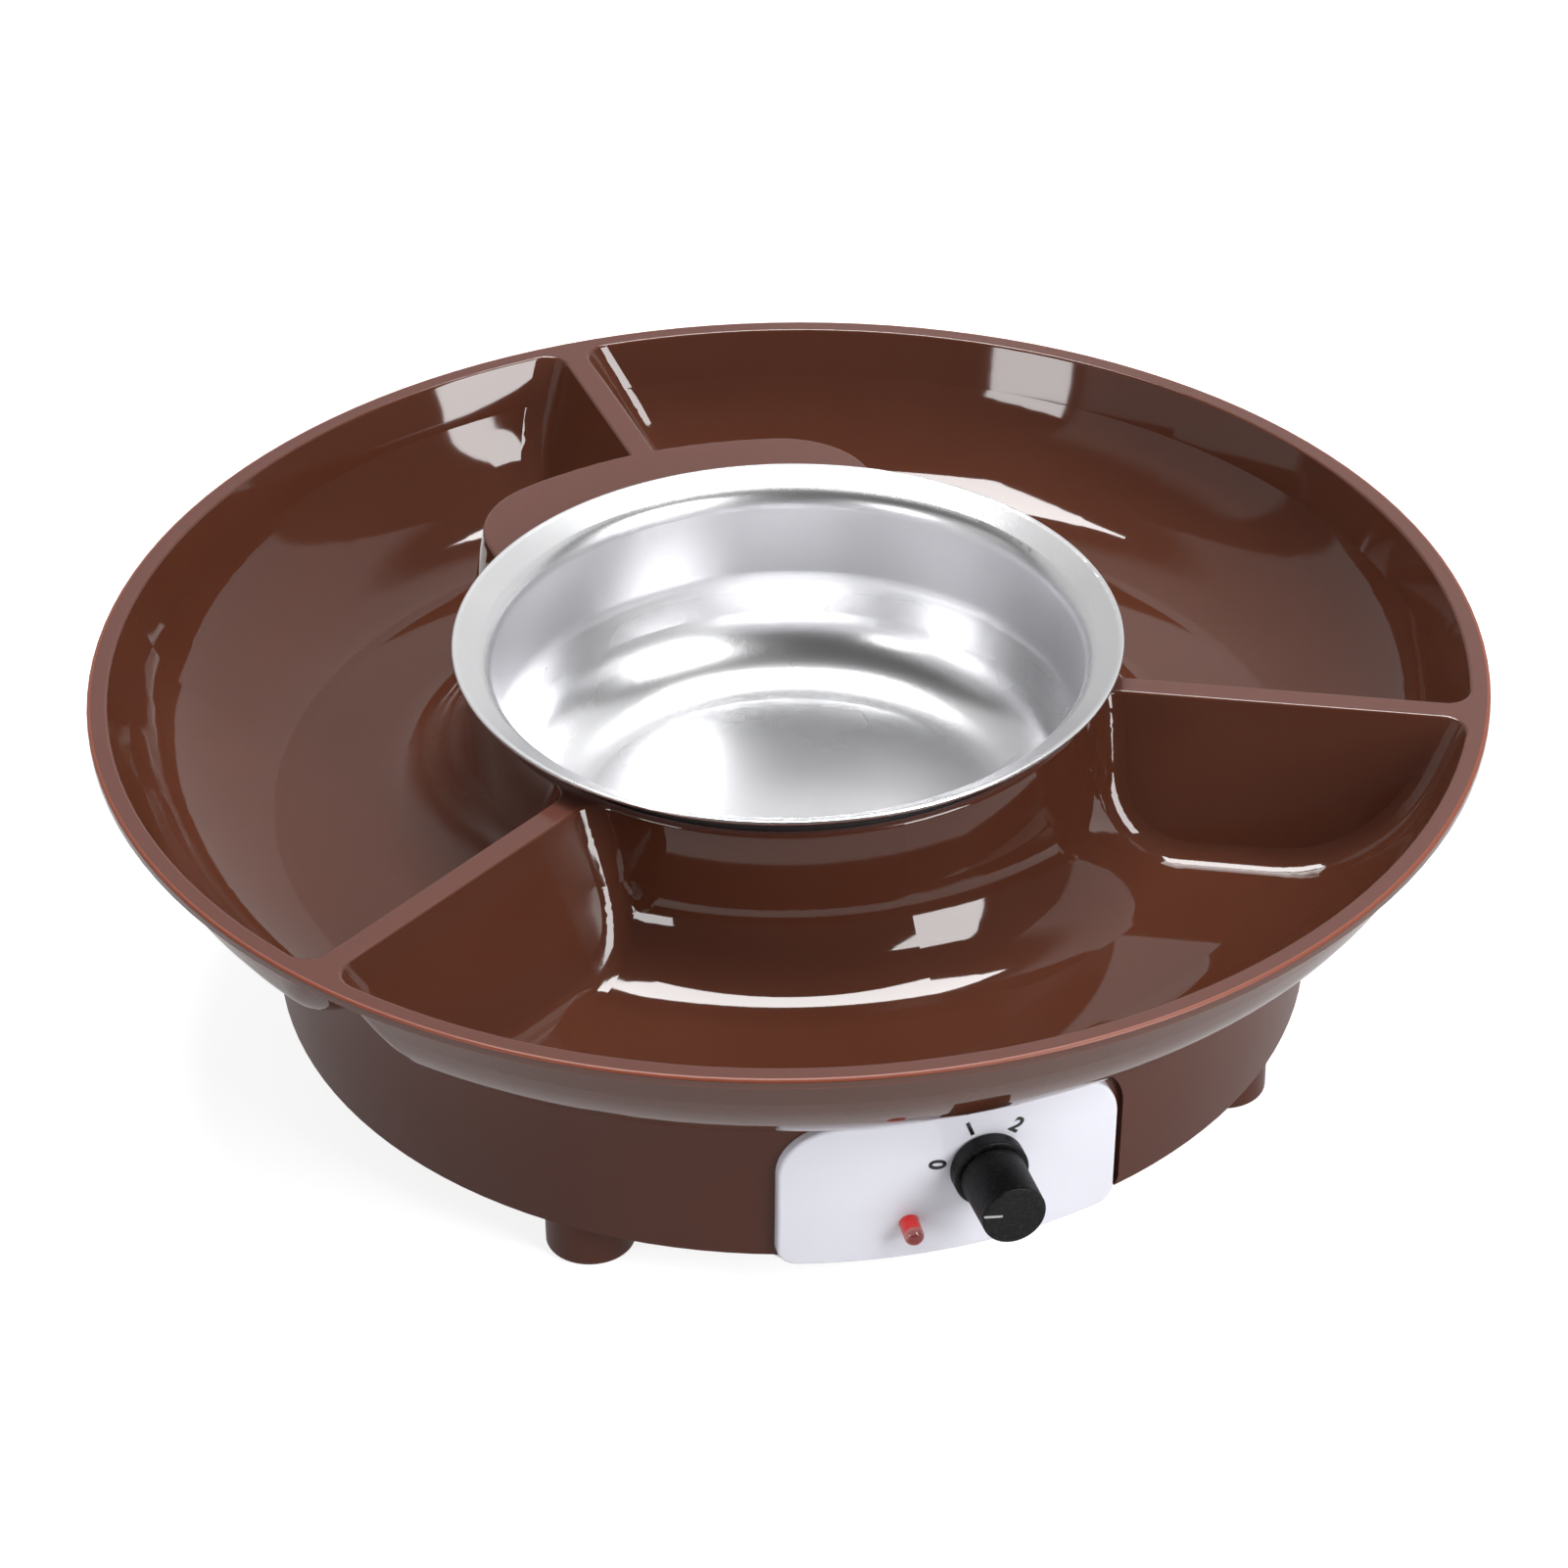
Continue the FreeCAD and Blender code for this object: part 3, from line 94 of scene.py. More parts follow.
# %% [markdown]
# ## Helpers for materials
# A shader is a graph of nodes. One function turns a colour, as a paint shop writes it, into the linear
# values that the shader wants. Another adds one node, sets it and links it, and is the only one that
# does. Two more open and close a material, so that each finish below reads from its patterns down to
# its shader. Every pattern reads Object coordinates, which are metres on the part itself.

# %% Colour and node helpers
def paint(code):
    """Linear colour for an sRGB hex code."""
    parts = [int(code[index:index + 2], 16) / 255 for index in (1, 3, 5)]
    return tuple(p / 12.92 if p <= 0.04045 else ((p + 0.055) / 1.055) ** 2.4 for p in parts) + (1.0,)


def grains(size):
    """Texture scale for a pattern whose cells are about this many metres wide."""
    return 1 / size


def add(tree, kind, inputs=(), **settings):
    """Adds a node. Its inputs take plain values, sockets to link, or nodes whose result is linked."""
    made = tree.nodes.new(kind)
    for name, value in settings.items():
        setattr(made, name, value)
    in_use = [item for item in made.inputs if item.enabled]
    for key, value in dict(inputs).items():
        socket = in_use[key] if isinstance(key, int) else next(item for item in in_use if item.name == key)
        if isinstance(value, bpy.types.Node):
            value = next(item for item in value.outputs if item.enabled)
        if isinstance(value, bpy.types.NodeSocket):
            tree.links.new(value, socket)
        else:
            socket.default_value = value
    return made


# %% Open a material, close it, and put it on
def start(name):
    """A new material, its empty tree, and the coordinates that its patterns read."""
    material = bpy.data.materials.new(name)
    material.use_nodes = True
    tree = material.node_tree
    tree.nodes.clear()
    place = add(tree, "ShaderNodeTexCoord").outputs["Object"]
    return material, tree, place


def surface(tree, inputs):
    """Ends a material with one Principled shader, given its values and patterns."""
    shader = add(tree, "ShaderNodeBsdfPrincipled", inputs)
    add(tree, "ShaderNodeOutputMaterial", {"Surface": shader})


def wear(names, material):
    """Gives a material to CAD nodes."""
    for name in names:
        slots = nodes[name].data.materials
        slots.clear()
        slots.append(material)
    print(material.name, "on", ", ".join(names))


# %% [markdown]
# ## Serving tray: ABS, injection moulded in a polished tool
# Dyed ABS takes the tool's mirror finish, so the tray reflects the room sharply. The eye sees a deep
# brown, a veil of white where it looks flat along the surface, and wavy edges on the reflections,
# because a thin moulded wall is never quite flat. The dye lets a little light into thin edges, which
# turns them orange. A clear coat over a rough base could fake the gloss, but one smooth surface with
# a slow, shallow relief is what the real part is.

# %% Gloss brown ABS
gloss_abs, tree, place = start("gloss_moulded_abs_brown")
flow = add(tree, "ShaderNodeTexNoise", {"Vector": place, "Scale": grains(45 * mm), "Detail": 2.0})
tones = add(
    tree, "ShaderNodeMix", {"Factor": flow, "A": paint("#472518"), "B": paint("#502d21")}, data_type="RGBA")
gloss = add(tree, "ShaderNodeMapRange", {"Value": flow, "To Min": 0.02, "To Max": 0.07})
sink = add(tree, "ShaderNodeTexNoise", {"Vector": place, "Scale": grains(26 * mm), "Detail": 1.0})
relief = add(tree, "ShaderNodeBump", {"Height": sink, "Distance": 0.015 * mm})
print(gloss_abs.name, "has", len(tree.nodes), "nodes so far")

# %% [markdown]
# ## Where the tray's finish changes, and where light is painted
# The flat tops of the lip, the ledge and the dividers are a little duller, and are painted paler as painted
# light, because they stand clear in the light from all sides. A thin, warm, matt line on the outer edge
# is a painted orange glow of light scattering through the edge. In the narrow corner at the collar's left
# foot the tool is hard to polish, so the gloss is softer there. Separate pieces could carry these finishes,
# but
# a mask by height and radius puts them on the one moulding that they belong to.

# %% Masks
def mask(tree, *steps):
    """One where every value is past its step, zero before it, with smooth edges."""
    inside = None
    for value, zero_at, one_at in steps:
        step = add(tree, "ShaderNodeMapRange", {
            "Value": value, "From Min": zero_at, "From Max": one_at}, interpolation_type="SMOOTHSTEP")
        inside = step if inside is None else add(
            tree, "ShaderNodeMath", {0: inside, 1: step}, operation="MULTIPLY")
    return inside


apart = add(tree, "ShaderNodeSeparateXYZ", {"Vector": place}).outputs
level = add(tree, "ShaderNodeVectorMath", {0: place, 1: (1, 1, 0)}, operation="MULTIPLY")
reach = add(tree, "ShaderNodeVectorMath", {0: level}, operation="LENGTH")
foot_edge = (87 * mm, 83 * mm)
left_edge = (-57 * mm, -66 * mm)
top_edge = (tray_top - 0.15 * mm, tray_top - 0.05 * mm)
rim_edge = (149.0 * mm, 149.3 * mm)
edge_glow_heights = (tray_top - 0.7 * mm, tray_top - 0.4 * mm)
corner = mask(tree, (reach, *foot_edge), (apart["X"], *left_edge))
# Painted light: the flat top faces are painted paler where they stand in the light.
painted_lit_tops = mask(tree, (apart["Z"], *top_edge))
# Painted glow: a thin orange line on the outer edge stands in for light scattered through it.
painted_edge_glow = mask(tree, (reach, *rim_edge), (apart["Z"], *edge_glow_heights))
print("top faces from height", round(top_edge[0] / mm, 2), "mm")

# %% Corner, painted light on the top faces, and painted glow on the outer edge
gloss = add(tree, "ShaderNodeMix", {"Factor": corner, "A": gloss, "B": 0.24}, data_type="FLOAT")
# The paler tops and the orange edge are painted light; their dullness is a real roughness.
for zone, colour, dullness in ((painted_lit_tops, "#56332b", 0.14), (painted_edge_glow, "#733620", 0.42)):
    tones = add(
        tree, "ShaderNodeMix", {"Factor": zone, "A": tones, "B": paint(colour)}, data_type="RGBA")
    gloss = add(tree, "ShaderNodeMix", {"Factor": zone, "A": gloss, "B": dullness}, data_type="FLOAT")
surface(tree, {
    "Base Color": tones, "Roughness": gloss, "Normal": relief, "IOR": 1.52, "Subsurface Weight": 0.16,
    "Subsurface Scale": 1.0, "Subsurface Radius": (4 * mm, 1.2 * mm, 0.6 * mm)})
wear(["serving_tray"], gloss_abs)

# %% [markdown]
# ## Drum and feet: the same ABS from a satin tool
# The drum's tool is blasted, not polished. That leaves a grain of about 0.2 mm that spreads the
# reflections to a soft sheen. The grain is finer than a pixel, so it is drawn about 0.5 mm wide.

# %% Satin brown ABS
satin_abs, tree, place = start("satin_moulded_abs_brown")
flow = add(tree, "ShaderNodeTexNoise", {"Vector": place, "Scale": grains(60 * mm), "Detail": 2.0})
tones = add(
    tree, "ShaderNodeMix", {"Factor": flow, "A": paint("#46241a"), "B": paint("#4f2b20")}, data_type="RGBA")
gloss = add(tree, "ShaderNodeMapRange", {"Value": flow, "To Min": 0.26, "To Max": 0.36})
blast = add(tree, "ShaderNodeTexNoise", {"Vector": place, "Scale": grains(0.5 * mm), "Detail": 3.0})
relief = add(tree, "ShaderNodeBump", {"Height": blast, "Distance": 0.02 * mm, "Strength": 0.6})
surface(tree, {
    "Base Color": tones, "Roughness": gloss, "Normal": relief, "IOR": 1.52, "Specular IOR Level": 0.25})
wear(["base_housing", "bottom_cover", "feet"], satin_abs)

# %% [markdown]
# ## Panel: white ABS, gloss
# White plastic is a cloudy body: light goes in a millimetre and comes back softened, with a cold tint
# from its pigment. A little scattering and a smooth surface give that.

# %% Gloss white ABS
white_abs, tree, place = start("gloss_moulded_abs_white")
flow = add(tree, "ShaderNodeTexNoise", {"Vector": place, "Scale": grains(30 * mm), "Detail": 1.0})
tones = add(
    tree, "ShaderNodeMix", {"Factor": flow, "A": paint("#d6d6df"), "B": paint("#dbdbe4")}, data_type="RGBA")
gloss = add(tree, "ShaderNodeMapRange", {"Value": flow, "To Min": 0.10, "To Max": 0.15})
relief = add(tree, "ShaderNodeBump", {"Height": flow, "Distance": 0.03 * mm})
surface(tree, {
    "Base Color": tones, "Roughness": gloss, "Normal": relief, "IOR": 1.52, "Subsurface Weight": 0.15,
    "Subsurface Scale": 1.0, "Subsurface Radius": (1.2 * mm, 1.2 * mm, 1.4 * mm)})
wear(["control_panel"], white_abs)

# %% [markdown]
# ## Knob: black ABS with a spark-eroded grain
# A spark-eroded tool gives matt plastic with a leathery grain of about 0.3 mm, which hides
# fingerprints. It catches tiny glints, so the grain goes into the relief and the roughness, and its peaks
# are painted lighter as painted glints.
# It is drawn about 0.8 mm wide, because a finer one is lost between the pixels. The slot in the face is
# filled with white ink, which is dull and picks up dust, so it looks light grey against the black.

# %% Grained black ABS
grain_abs, tree, place = start("grained_abs_black")
spark = add(tree, "ShaderNodeTexNoise", {
    "Vector": place, "Scale": grains(0.8 * mm), "Detail": 3.0, "Roughness": 0.6})
# Painted glints: the grain's peaks are painted lighter.
painted_glint_peaks = add(tree, "ShaderNodeMapRange", {"Value": spark, "From Min": 0.45, "From Max": 0.70})
tones = add(tree, "ShaderNodeMix", {
    "Factor": painted_glint_peaks, "A": paint("#010101"), "B": paint("#1c1c1c")}, data_type="RGBA")
gloss = add(tree, "ShaderNodeMapRange", {"Value": spark, "To Min": 0.38, "To Max": 0.62})
relief = add(tree, "ShaderNodeBump", {"Height": spark, "Distance": 0.12 * mm, "Strength": 0.8})
surface(tree, {
    "Base Color": tones, "Roughness": gloss, "Normal": relief, "IOR": 1.52, "Specular IOR Level": 0.2})
wear(["knob"], grain_abs)

# %% White ink in the knob's slot
white_ink, tree, place = start("white_filled_slot")
fill = add(tree, "ShaderNodeTexNoise", {"Vector": place, "Scale": grains(0.6 * mm), "Detail": 2.0})
tones = add(
    tree, "ShaderNodeMix", {"Factor": fill, "A": paint("#8d8d8d"), "B": paint("#b4b4b3")}, data_type="RGBA")
surface(tree, {"Base Color": tones, "Roughness": 0.5, "IOR": 1.5})
wear(["knob_pointer"], white_ink)

# %% [markdown]
# ## Pot: aluminium sheet, deep drawn and satin
# The blank was rolled, so fine straight scratches run along one direction, front to back. Drawing
# stretched them over the bowl and up the wall. The scratches are a few hundredths of a millimetre
# wide. They are drawn about 0.4 mm wide here, long in the rolling direction, so that they show. The
# punch burnishes the bowl, so its reflections are soft but still have a shape. The wall above the step
# is rubbed by the die, which leaves it matt, and it is painted greyer as painted shade. One material does
# both, by height. A silky
# unevenness of 0.7 mm and broad patches of 25 mm keep the bright parts from looking like glass.

# %% Satin drawn aluminium
pot_metal, tree, place = start("satin_drawn_aluminium")
rolled = add(tree, "ShaderNodeMapping", {"Vector": place, "Scale": (1.0, 0.16, 0.3)})
scratch = add(tree, "ShaderNodeTexNoise", {"Vector": rolled, "Scale": grains(0.4 * mm), "Detail": 2.0})
silk = add(tree, "ShaderNodeTexNoise", {"Vector": place, "Scale": grains(0.7 * mm), "Detail": 2.0})
cloud = add(tree, "ShaderNodeTexNoise", {"Vector": place, "Scale": grains(25 * mm), "Detail": 2.0})
tones = add(tree, "ShaderNodeMix", {
    "Factor": cloud, "A": paint("#e8e8ea"), "B": paint("#f0f0f1")}, data_type="RGBA")
gloss = add(tree, "ShaderNodeMapRange", {"Value": cloud, "To Min": 0.24, "To Max": 0.30})
even = add(tree, "ShaderNodeBump", {"Height": silk, "Distance": 0.012 * mm, "Strength": 0.7})
relief = add(tree, "ShaderNodeBump", {
    "Height": scratch, "Distance": 0.024 * mm, "Strength": 0.7, "Normal": even})
print(pot_metal.name, "has", len(tree.nodes), "nodes so far")

# %% Matt wall above the pot's step, with painted shade
height = add(tree, "ShaderNodeSeparateXYZ", {"Vector": place}).outputs["Z"]
step_edge = (62 * mm, 69 * mm)
flare_edge = (87 * mm, 84 * mm)
matt_and_shaded_wall = mask(tree, (height, *step_edge), (height, *flare_edge))
# Painted shade: the wall's greyer colour; its higher roughness is the die's matt finish.
tones = add(
    tree, "ShaderNodeMix", {"Factor": matt_and_shaded_wall, "A": tones, "B": paint("#cacacd")}, data_type="RGBA")
gloss = add(tree, "ShaderNodeMix", {"Factor": matt_and_shaded_wall, "A": gloss, "B": 0.42}, data_type="FLOAT")
surface(tree, {"Base Color": tones, "Roughness": gloss, "Normal": relief, "Metallic": 1.0})
wear(["melting_pot"], pot_metal)

# %% [markdown]
# ## Pilot light: clear cap over a red lamp
# The cap is clear polycarbonate with a smoky tint, so it must bend light rather than be painted. Under
# it the red lamp glows. A smooth emission would look like a sticker, so its colour follows small
# facets. Moulded plastic is never perfectly clear: it scatters a little of the lamp's light. That light is
# painted into the cap as a red glow up to the lamp's tip, and the cap stays grey in front of it.

# %% Clear cap, with a painted red glow
clear_cap, tree, place = start("clear_moulded_polycarbonate")
haze = add(tree, "ShaderNodeTexNoise", {"Vector": place, "Scale": grains(1.5 * mm), "Detail": 2.0})
gloss = add(tree, "ShaderNodeMapRange", {"Value": haze, "To Min": 0.02, "To Max": 0.10})
depth = add(tree, "ShaderNodeSeparateXYZ", {"Vector": place}).outputs["Y"]
lamp_edge = (-120.6 * mm, -118.4 * mm)
# Painted glow: the cap emits red near the lamp, in place of the lamp's scattered light.
painted_glow_near_lamp = mask(tree, (depth, *lamp_edge))
glow = add(tree, "ShaderNodeMapRange", {"Value": painted_glow_near_lamp, "To Min": 0.0, "To Max": 0.22})
surface(tree, {
    "Base Color": paint("#8f6f6c"), "Roughness": gloss, "IOR": 1.58, "Transmission Weight": 1.0,
    "Emission Color": paint("#c01a14"), "Emission Strength": glow})
wear(["indicator_lens"], clear_cap)

# %% Red lamp
red_lamp, tree, place = start("red_glowing_lamp")
facet = add(tree, "ShaderNodeTexVoronoi", {"Vector": place, "Scale": grains(1.2 * mm)})
tones = add(tree, "ShaderNodeMix", {
    "Factor": facet, "A": paint("#9a0805"), "B": paint("#f0160a")}, data_type="RGBA")
relief = add(tree, "ShaderNodeBump", {"Height": facet, "Distance": 0.2 * mm})
surface(tree, {
    "Base Color": tones, "Roughness": 0.2, "Normal": relief, "IOR": 1.5, "Coat Weight": 0.6,
    "Emission Color": tones, "Emission Strength": 2.0})
wear(["indicator_lamp"], red_lamp)

# %% [markdown]
# ## Works inside the drum
# These pieces show only when the pot and the tray are lifted out or the model is seen from below. They
# get the finishes of ordinary parts. The hot plate is a casting faced on a lathe: its fine rings draw
# each highlight out into a fan. The real rings are 0.2 mm apart and are drawn 0.9 mm apart, so that
# they show. The other parts need one grain each.

# %% Faced casting
cast_metal, tree, place = start("faced_cast_aluminium")
level = add(tree, "ShaderNodeVectorMath", {0: place, 1: (1, 1, 0)}, operation="MULTIPLY")
reach = add(tree, "ShaderNodeVectorMath", {0: level}, operation="LENGTH")
lathe = add(tree, "ShaderNodeMath", {0: reach, 1: 2 * pi / (0.9 * mm)}, operation="MULTIPLY")
groove = add(tree, "ShaderNodeMath", {0: lathe}, operation="SINE")
pits = add(tree, "ShaderNodeTexNoise", {"Vector": place, "Scale": grains(1.2 * mm), "Detail": 3.0})
tones = add(
    tree, "ShaderNodeMix", {"Factor": pits, "A": paint("#a9a9a8"), "B": paint("#c4c4c3")}, data_type="RGBA")
turned = add(tree, "ShaderNodeBump", {"Height": groove, "Distance": 0.008 * mm, "Strength": 0.6})
relief = add(tree, "ShaderNodeBump", {
    "Height": pits, "Distance": 0.03 * mm, "Strength": 0.5, "Normal": turned})
surface(tree, {"Base Color": tones, "Roughness": 0.38, "Normal": relief, "Metallic": 1.0})
wear(["heater_plate"], cast_metal)

# %% A finish with one grain
def plain_finish(name, low, high, grain, depth, dullness, values):
    """A material whose one grain varies its colour, its relief and its roughness."""
    material, tree, place = start(name)
    noise = add(tree, "ShaderNodeTexNoise", {"Vector": place, "Scale": grains(grain), "Detail": 3.0})
    tones = add(
        tree, "ShaderNodeMix", {"Factor": noise, "A": paint(low), "B": paint(high)}, data_type="RGBA")
    relief = add(tree, "ShaderNodeBump", {"Height": noise, "Distance": depth, "Strength": 0.6})
    gloss = add(tree, "ShaderNodeMapRange", {
        "Value": noise, "To Min": dullness[0], "To Max": dullness[1]})
    surface(tree, {"Base Color": tones, "Roughness": gloss, "Normal": relief, **values})
    return material


# %% Ordinary parts: finish, two paints, grain and depth in mm, roughness, values, nodes
ordinary = (
    # Zinc on steel: bluish and softly bright, with faint crystals
    ("zinc_plated_steel", "#a8aaae", "#c3c5c9", 1.5, 0.01, (0.24, 0.42), {"Metallic": 1.0},
     ["panel_screws", "switch_nut", "switch_shaft", "knob_spring", "heat_reflector", "dish_screws",
      "heater_bracket", "bracket_screws", "heater_studs", "heater_spacers", "heater_nuts",
      "thermostat_clip", "fuse_clamp", "cover_screws", "block_screws", "thermal_fuse"]),
    # Rolled brass: warm yellow, smooth from the press
    ("brass_strip", "#b28a3c", "#cfa654", 1.0, 0.01, (0.22, 0.36), {"Metallic": 1.0},
     ["switch_terminals"]),
    # Steel sheath that has been red hot: dark, dull and speckled
    ("oxidised_steel_sheath", "#4d4a47", "#6b6661", 1.2, 0.02, (0.42, 0.60), {"Metallic": 0.9},
     ["heating_element"]),
    # Rubber: almost black, with no shine
    ("moulded_rubber_dark", "#151414", "#211f1e", 0.8, 0.03, (0.62, 0.80), {"IOR": 1.52},
     ["foot_pads", "cord_gland"]),
    # Mica board: straw coloured and flaky
    ("mica_board", "#b9a98c", "#d3c6ab", 1.6, 0.04, (0.55, 0.75), {"IOR": 1.58},
     ["heater_gasket"]),
    # Phenolic: black, with the low shine of a pressed powder
    ("moulded_phenolic_black", "#121110", "#1f1c1a", 0.9, 0.02, (0.35, 0.5), {"IOR": 1.6},
     ["switch_body", "thermostat"]),
    # Nylon: milky and a little waxy
    ("moulded_nylon_white", "#d8d5c8", "#e8e6dc", 1.4, 0.02, (0.35, 0.5), {"IOR": 1.53},
     ["terminal_block"]),
    # Glass sleeving: off-white, its braid drawn 0.5 mm wide
    ("glass_fibre_sleeving", "#d9d4c6", "#f0ece2", 0.5, 0.06, (0.6, 0.8), {"IOR": 1.5},
     ["inner_leads"]),
)
for name, low, high, grain, depth, dullness, values, names in ordinary:
    wear(names, plain_finish(name, low, high, grain * mm, depth * mm, dullness, values))

# %% [markdown]
# ## Dial numbers
# Plain numbers stand round the knob, one for each of its stops. Printed ink is flat, deep black and a
# few hundredths of a millimetre thick, so each number is a text object made a mesh, given a hair of
# thickness, and bent onto the panel's cone. The cone's sizes are those of the solid model. A decal
# texture would need an image, and this script reads none.

# %% Print the numbers
panel_turn = radians(-3.85)
knob_shift = 5.8 * mm
knob_height = 32.9 * mm
number_radius = 10.2 * mm
number_size = 3.7 * mm
letter_size = number_size * 1.35
stroke_gain = number_size * 0.045
ink_height = 0.04 * mm
drum_bottom, drum_top = 12.0 * mm, 50.2 * mm
bottom_radius, top_radius, panel_proud = 113.5 * mm, 116.0 * mm, 2.0 * mm


def panel_radius(height):
    """Radius of the panel's face, a cone, at a height."""
    share = (height - drum_bottom) / (drum_top - drum_bottom)
    return bottom_radius + (top_radius - bottom_radius) * share + panel_proud


def on_panel(flat_point):
    """From a flat front view, X right and Y up from the knob's axis, onto the panel's face."""
    across = knob_shift + flat_point.x
    height = knob_height + flat_point.y
    reach = panel_radius(height) + ink_height * flat_point.z
    outwards = sqrt(reach ** 2 - across ** 2)
    return Matrix.Rotation(panel_turn, 3, "Z") @ Vector((across, -outwards, height))


def print_number(sign, angle):
    """A thin printed number, bent onto the panel at an angle round the knob."""
    curve = bpy.data.curves.new("dial_" + sign, "FONT")
    curve.body = sign
    curve.size = letter_size
    curve.offset = stroke_gain
    curve.align_x = "CENTER"
    curve.align_y = "CENTER"
    draft = bpy.data.objects.new("draft_" + sign, curve)
    flat = bpy.data.meshes.new_from_object(draft)
    bpy.data.objects.remove(draft)
    form = bmesh.new()
    form.from_mesh(flat)
    bmesh.ops.remove_doubles(form, verts=form.verts, dist=1e-6)
    bmesh.ops.triangulate(form, faces=form.faces)
    bmesh.ops.subdivide_edges(form, edges=form.edges, cuts=1)
    lifted = bmesh.ops.extrude_face_region(form, geom=form.faces)
    raised = [item for item in lifted["geom"] if isinstance(item, bmesh.types.BMVert)]
    bmesh.ops.translate(form, verts=raised, vec=(0, 0, 1))
    turn = Matrix.Rotation(angle - pi / 2, 3, "Z")
    middle = Vector((cos(angle), sin(angle), 0)) * number_radius
    for vert in form.verts:
        level = vert.co.z
        spot = turn @ Vector((vert.co.x, vert.co.y, 0)) + middle
        vert.co = on_panel(Vector((spot.x, spot.y, level)))
    bmesh.ops.recalc_face_normals(form, faces=form.faces)
    mesh = bpy.data.meshes.new("dial_" + sign)
    form.to_mesh(mesh)
    form.free()
    number = bpy.data.objects.new("dial_" + sign, mesh)
    bpy.context.scene.collection.objects.link(number)
    return number


# %% Put the numbers round the knob
black_ink = plain_finish(
    "pad_printed_ink_black", "#0e0e10", "#1a1a1d", 0.4 * mm, 0.01 * mm, (0.4, 0.55), {"IOR": 1.5})
for sign, angle in (("0", 170), ("1", 110), ("2", 50)):
    number = print_number(sign, radians(angle))
    number.data.materials.append(black_ink)
    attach(number, "base")
    print(number.name, len(number.data.polygons), "faces")

# %% [markdown]
# ## Floor, light and backdrop
# A product table is a round white acrylic sheet lit from below, which is why the object throws almost
# no shadow. For the camera its glow is stronger than for the object, as in a cut-out picture. A white
# room all round would grey the gloss evenly, so pale screens stand behind and at the left, and the
# camera's side is dark, as a studio is. Three soft boxes put their window shapes in the troughs.

# %% Floor
table_radius = 0.65
table_gap = 0.02 * mm
glow_for_object, glow_for_camera = 0.36, 0.84

floor_form = bmesh.new()
table_spot = Matrix.Translation((0, 0, cad_low[2] - table_gap))
bmesh.ops.create_circle(floor_form, cap_ends=True, segments=128, radius=table_radius, matrix=table_spot)
floor_mesh = bpy.data.meshes.new("floor")
floor_form.to_mesh(floor_mesh)
floor_form.free()
floor = bpy.data.objects.new("floor", floor_mesh)
bpy.context.scene.collection.objects.link(floor)
print("table", round(2 * table_radius / mm), "mm across")

# %% Lit acrylic
table_white, tree, place = start("lit_acrylic_table")
cast = add(tree, "ShaderNodeTexNoise", {"Vector": place, "Scale": grains(400 * mm), "Detail": 3.0})
tones = add(
    tree, "ShaderNodeMix", {"Factor": cast, "A": paint("#b0b0b1"), "B": paint("#b6b6b6")}, data_type="RGBA")
gloss = add(tree, "ShaderNodeMapRange", {"Value": cast, "To Min": 0.8, "To Max": 0.9})
relief = add(tree, "ShaderNodeBump", {"Height": cast, "Distance": 0.01 * mm, "Strength": 0.6})
seen = add(tree, "ShaderNodeLightPath").outputs["Is Camera Ray"]
glow = add(tree, "ShaderNodeMapRange", {
    "Value": seen, "To Min": glow_for_object, "To Max": glow_for_camera})
surface(tree, {
    "Base Color": tones, "Roughness": gloss, "Normal": relief, "IOR": 1.45,
    "Emission Color": paint("#ffffff"), "Emission Strength": glow})
floor.data.materials.append(table_white)
floor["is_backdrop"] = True
print(table_white.name, "has", len(tree.nodes), "nodes")

# %% [markdown]
# ## Room
# The backdrop is plain white for the camera. For the gloss it is a dark room with three screens, each
# given by two angles: how far round from the camera's direction, and how high above the table.

# %% Angles round the object
world = bpy.data.worlds.new("studio")
bpy.context.scene.world = world
world.use_nodes = True
tree = world.node_tree
tree.nodes.clear()
direction = add(tree, "ShaderNodeTexCoord").outputs["Generated"]
upright = add(
    tree, "ShaderNodeVectorRotate", {"Vector": direction, "Angle": -camera_side}, rotation_type="Z_AXIS")
parts = add(tree, "ShaderNodeSeparateXYZ", {"Vector": upright}).outputs
nearer = add(tree, "ShaderNodeMath", {0: parts["Y"], 1: -1.0}, operation="MULTIPLY")
aside = add(tree, "ShaderNodeMath", {0: parts["X"], 1: nearer}, operation="ARCTAN2")
above = add(tree, "ShaderNodeMath", {0: parts["Z"]}, operation="ARCSINE")
print("room turned with the camera by", round(camera_side * 180 / pi, 1), "degrees")

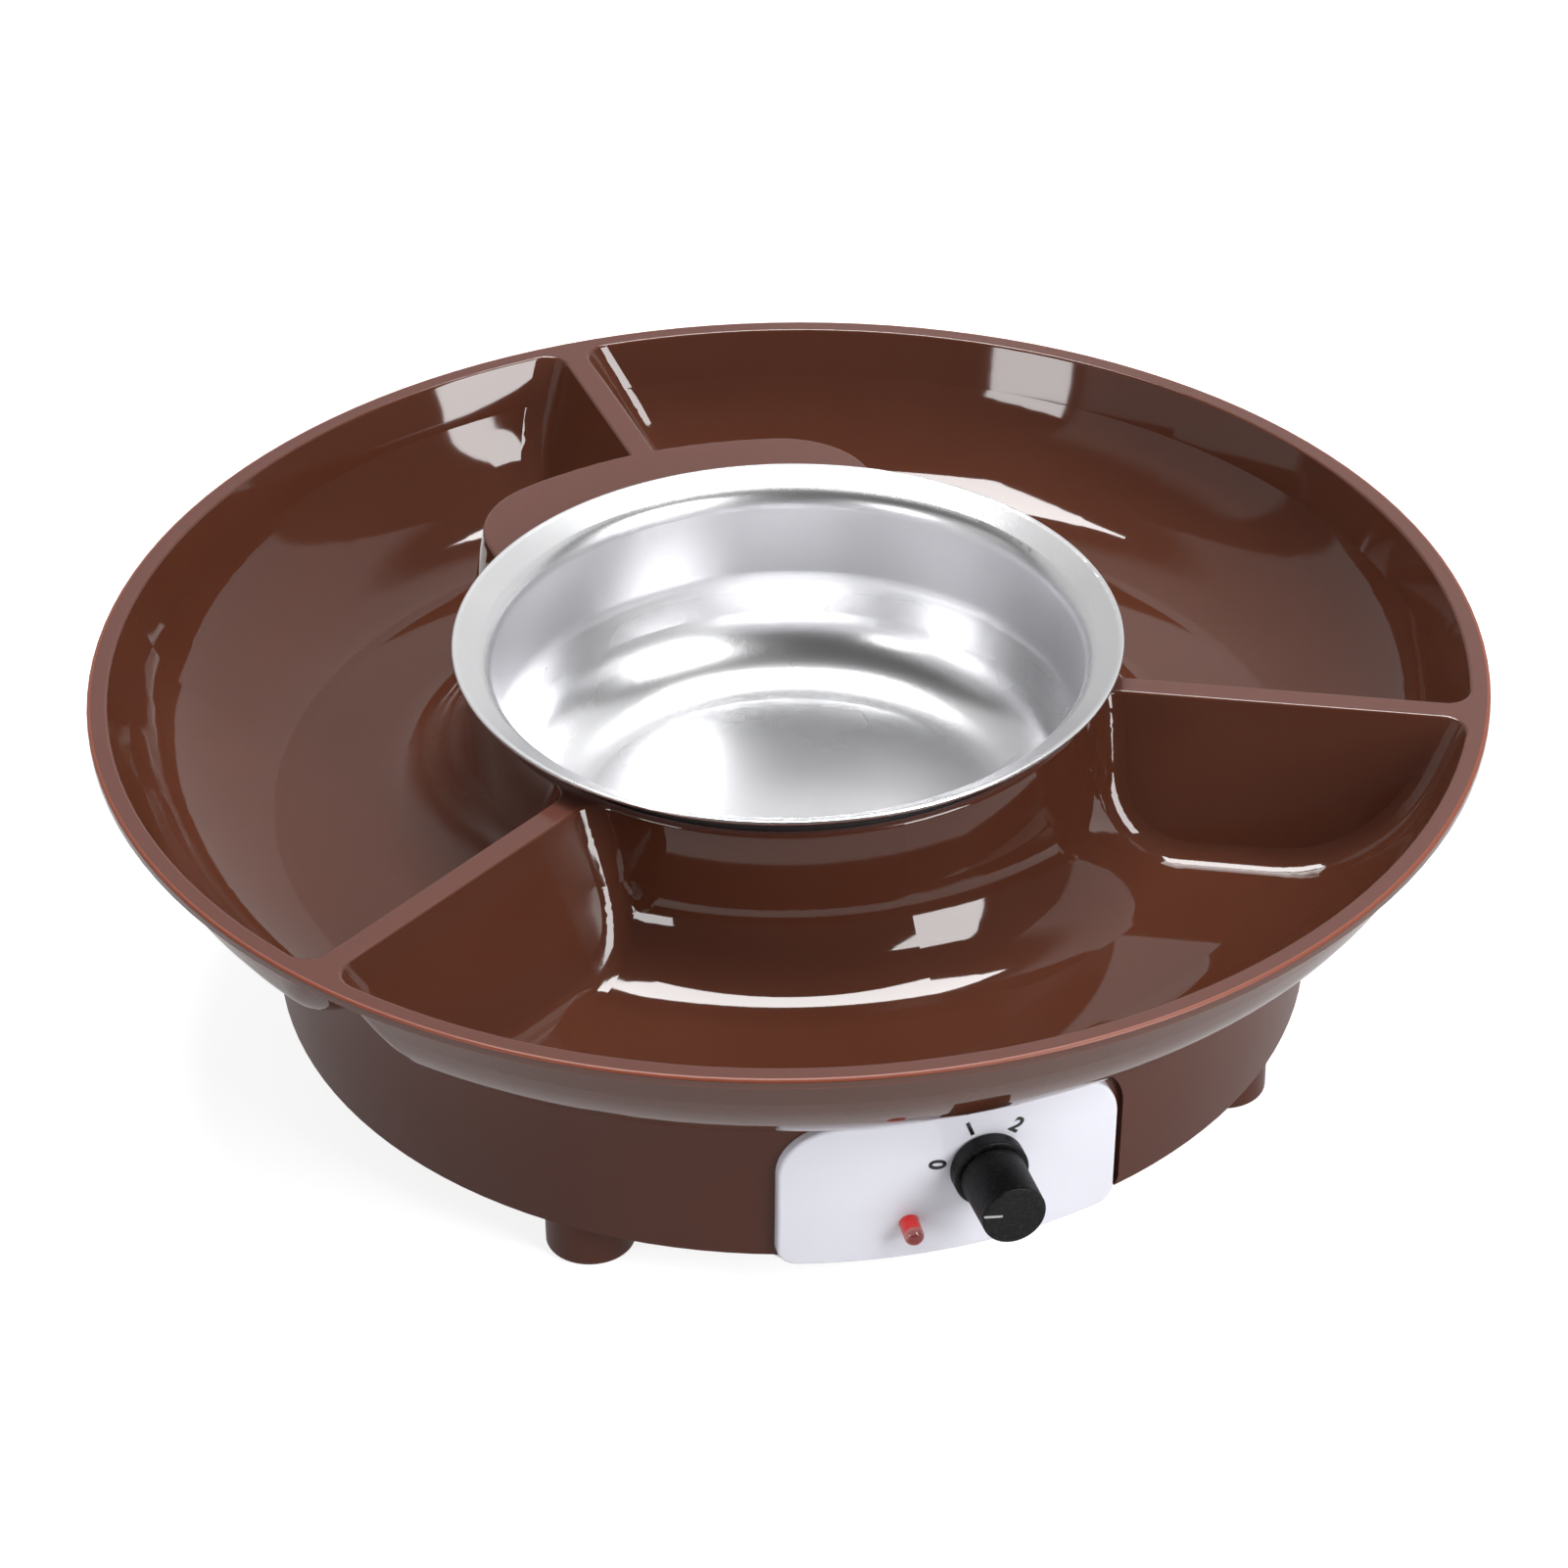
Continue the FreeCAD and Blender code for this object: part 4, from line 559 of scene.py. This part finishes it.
# %% Screens: brightness, then the angles in degrees between which each edge rises
dark_room = 0.08
screens = (
    (0.66, (aside, 97.5, 100.5), (above, 58, 50)),
    (0.48, (aside, -105.5, -108.5), (above, 58, 50)),
    (0.42, (aside, -95.5, -92.5), (aside, -50.5, -53.5), (above, 40, 28)),
)
light = dark_room
for brightness, *edges in screens:
    screen = mask(tree, *((value, radians(zero_at), radians(one_at)) for value, zero_at, one_at in edges))
    light = add(tree, "ShaderNodeMath", {0: screen, 1: brightness, 2: light}, operation="MULTIPLY_ADD")
seen = add(tree, "ShaderNodeLightPath").outputs["Is Camera Ray"]
light = add(tree, "ShaderNodeMix", {"Factor": seen, "A": light, "B": 1.0}, data_type="FLOAT")
sky = add(tree, "ShaderNodeBackground", {"Color": paint("#ffffff"), "Strength": light})
add(tree, "ShaderNodeOutputWorld", {"Surface": sky})
print(len(screens), "screens in a room of", dark_room)

# %% [markdown]
# ## Soft boxes
# A soft box is an area light. What counts for gloss is how large it looks from the object and how
# bright its face is, so each one is given by its two angles and by its brightness, against a white
# table at 1. Its size and its power follow from those.

# %% Hang the soft boxes
def soft_box(name, aside, above, wide, tall, brightness, distance=2.0):
    """A light aside from the camera and above the table, in degrees, seen wide by tall degrees."""
    width = 2 * distance * tan(radians(wide / 2))
    height = 2 * distance * tan(radians(tall / 2))
    light = bpy.data.lights.new(name, "AREA")
    light.shape = "RECTANGLE"
    light.size = width
    light.size_y = height
    light.energy = brightness * pi * width * height
    box = bpy.data.objects.new(name, light)
    heading = camera_side - pi / 2 + radians(aside)
    towards = Vector((
        cos(radians(above)) * cos(heading), cos(radians(above)) * sin(heading), sin(radians(above))))
    box.location = towards * distance + Vector((0, 0, tray_top))
    box.rotation_euler = towards.to_track_quat("Z", "Y").to_euler()
    box.visible_camera = False
    bpy.context.scene.collection.objects.link(box)
    print(name, "size", round(width, 2), round(height, 2), "power", round(light.energy, 1))


soft_box("key_box", aside=51, above=28, wide=22, tall=38, brightness=12)
soft_box("left_box", aside=-44, above=15, wide=14, tall=13, brightness=10)
soft_box("top_box", aside=180, above=76, wide=36, tall=22, brightness=17)
bpy.context.scene.view_settings.view_transform = "Standard"

# %% Sizes and finish
low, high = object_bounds()
print("visual box in mm", [round((b - a) / mm, 1) for a, b in zip(low, high)])
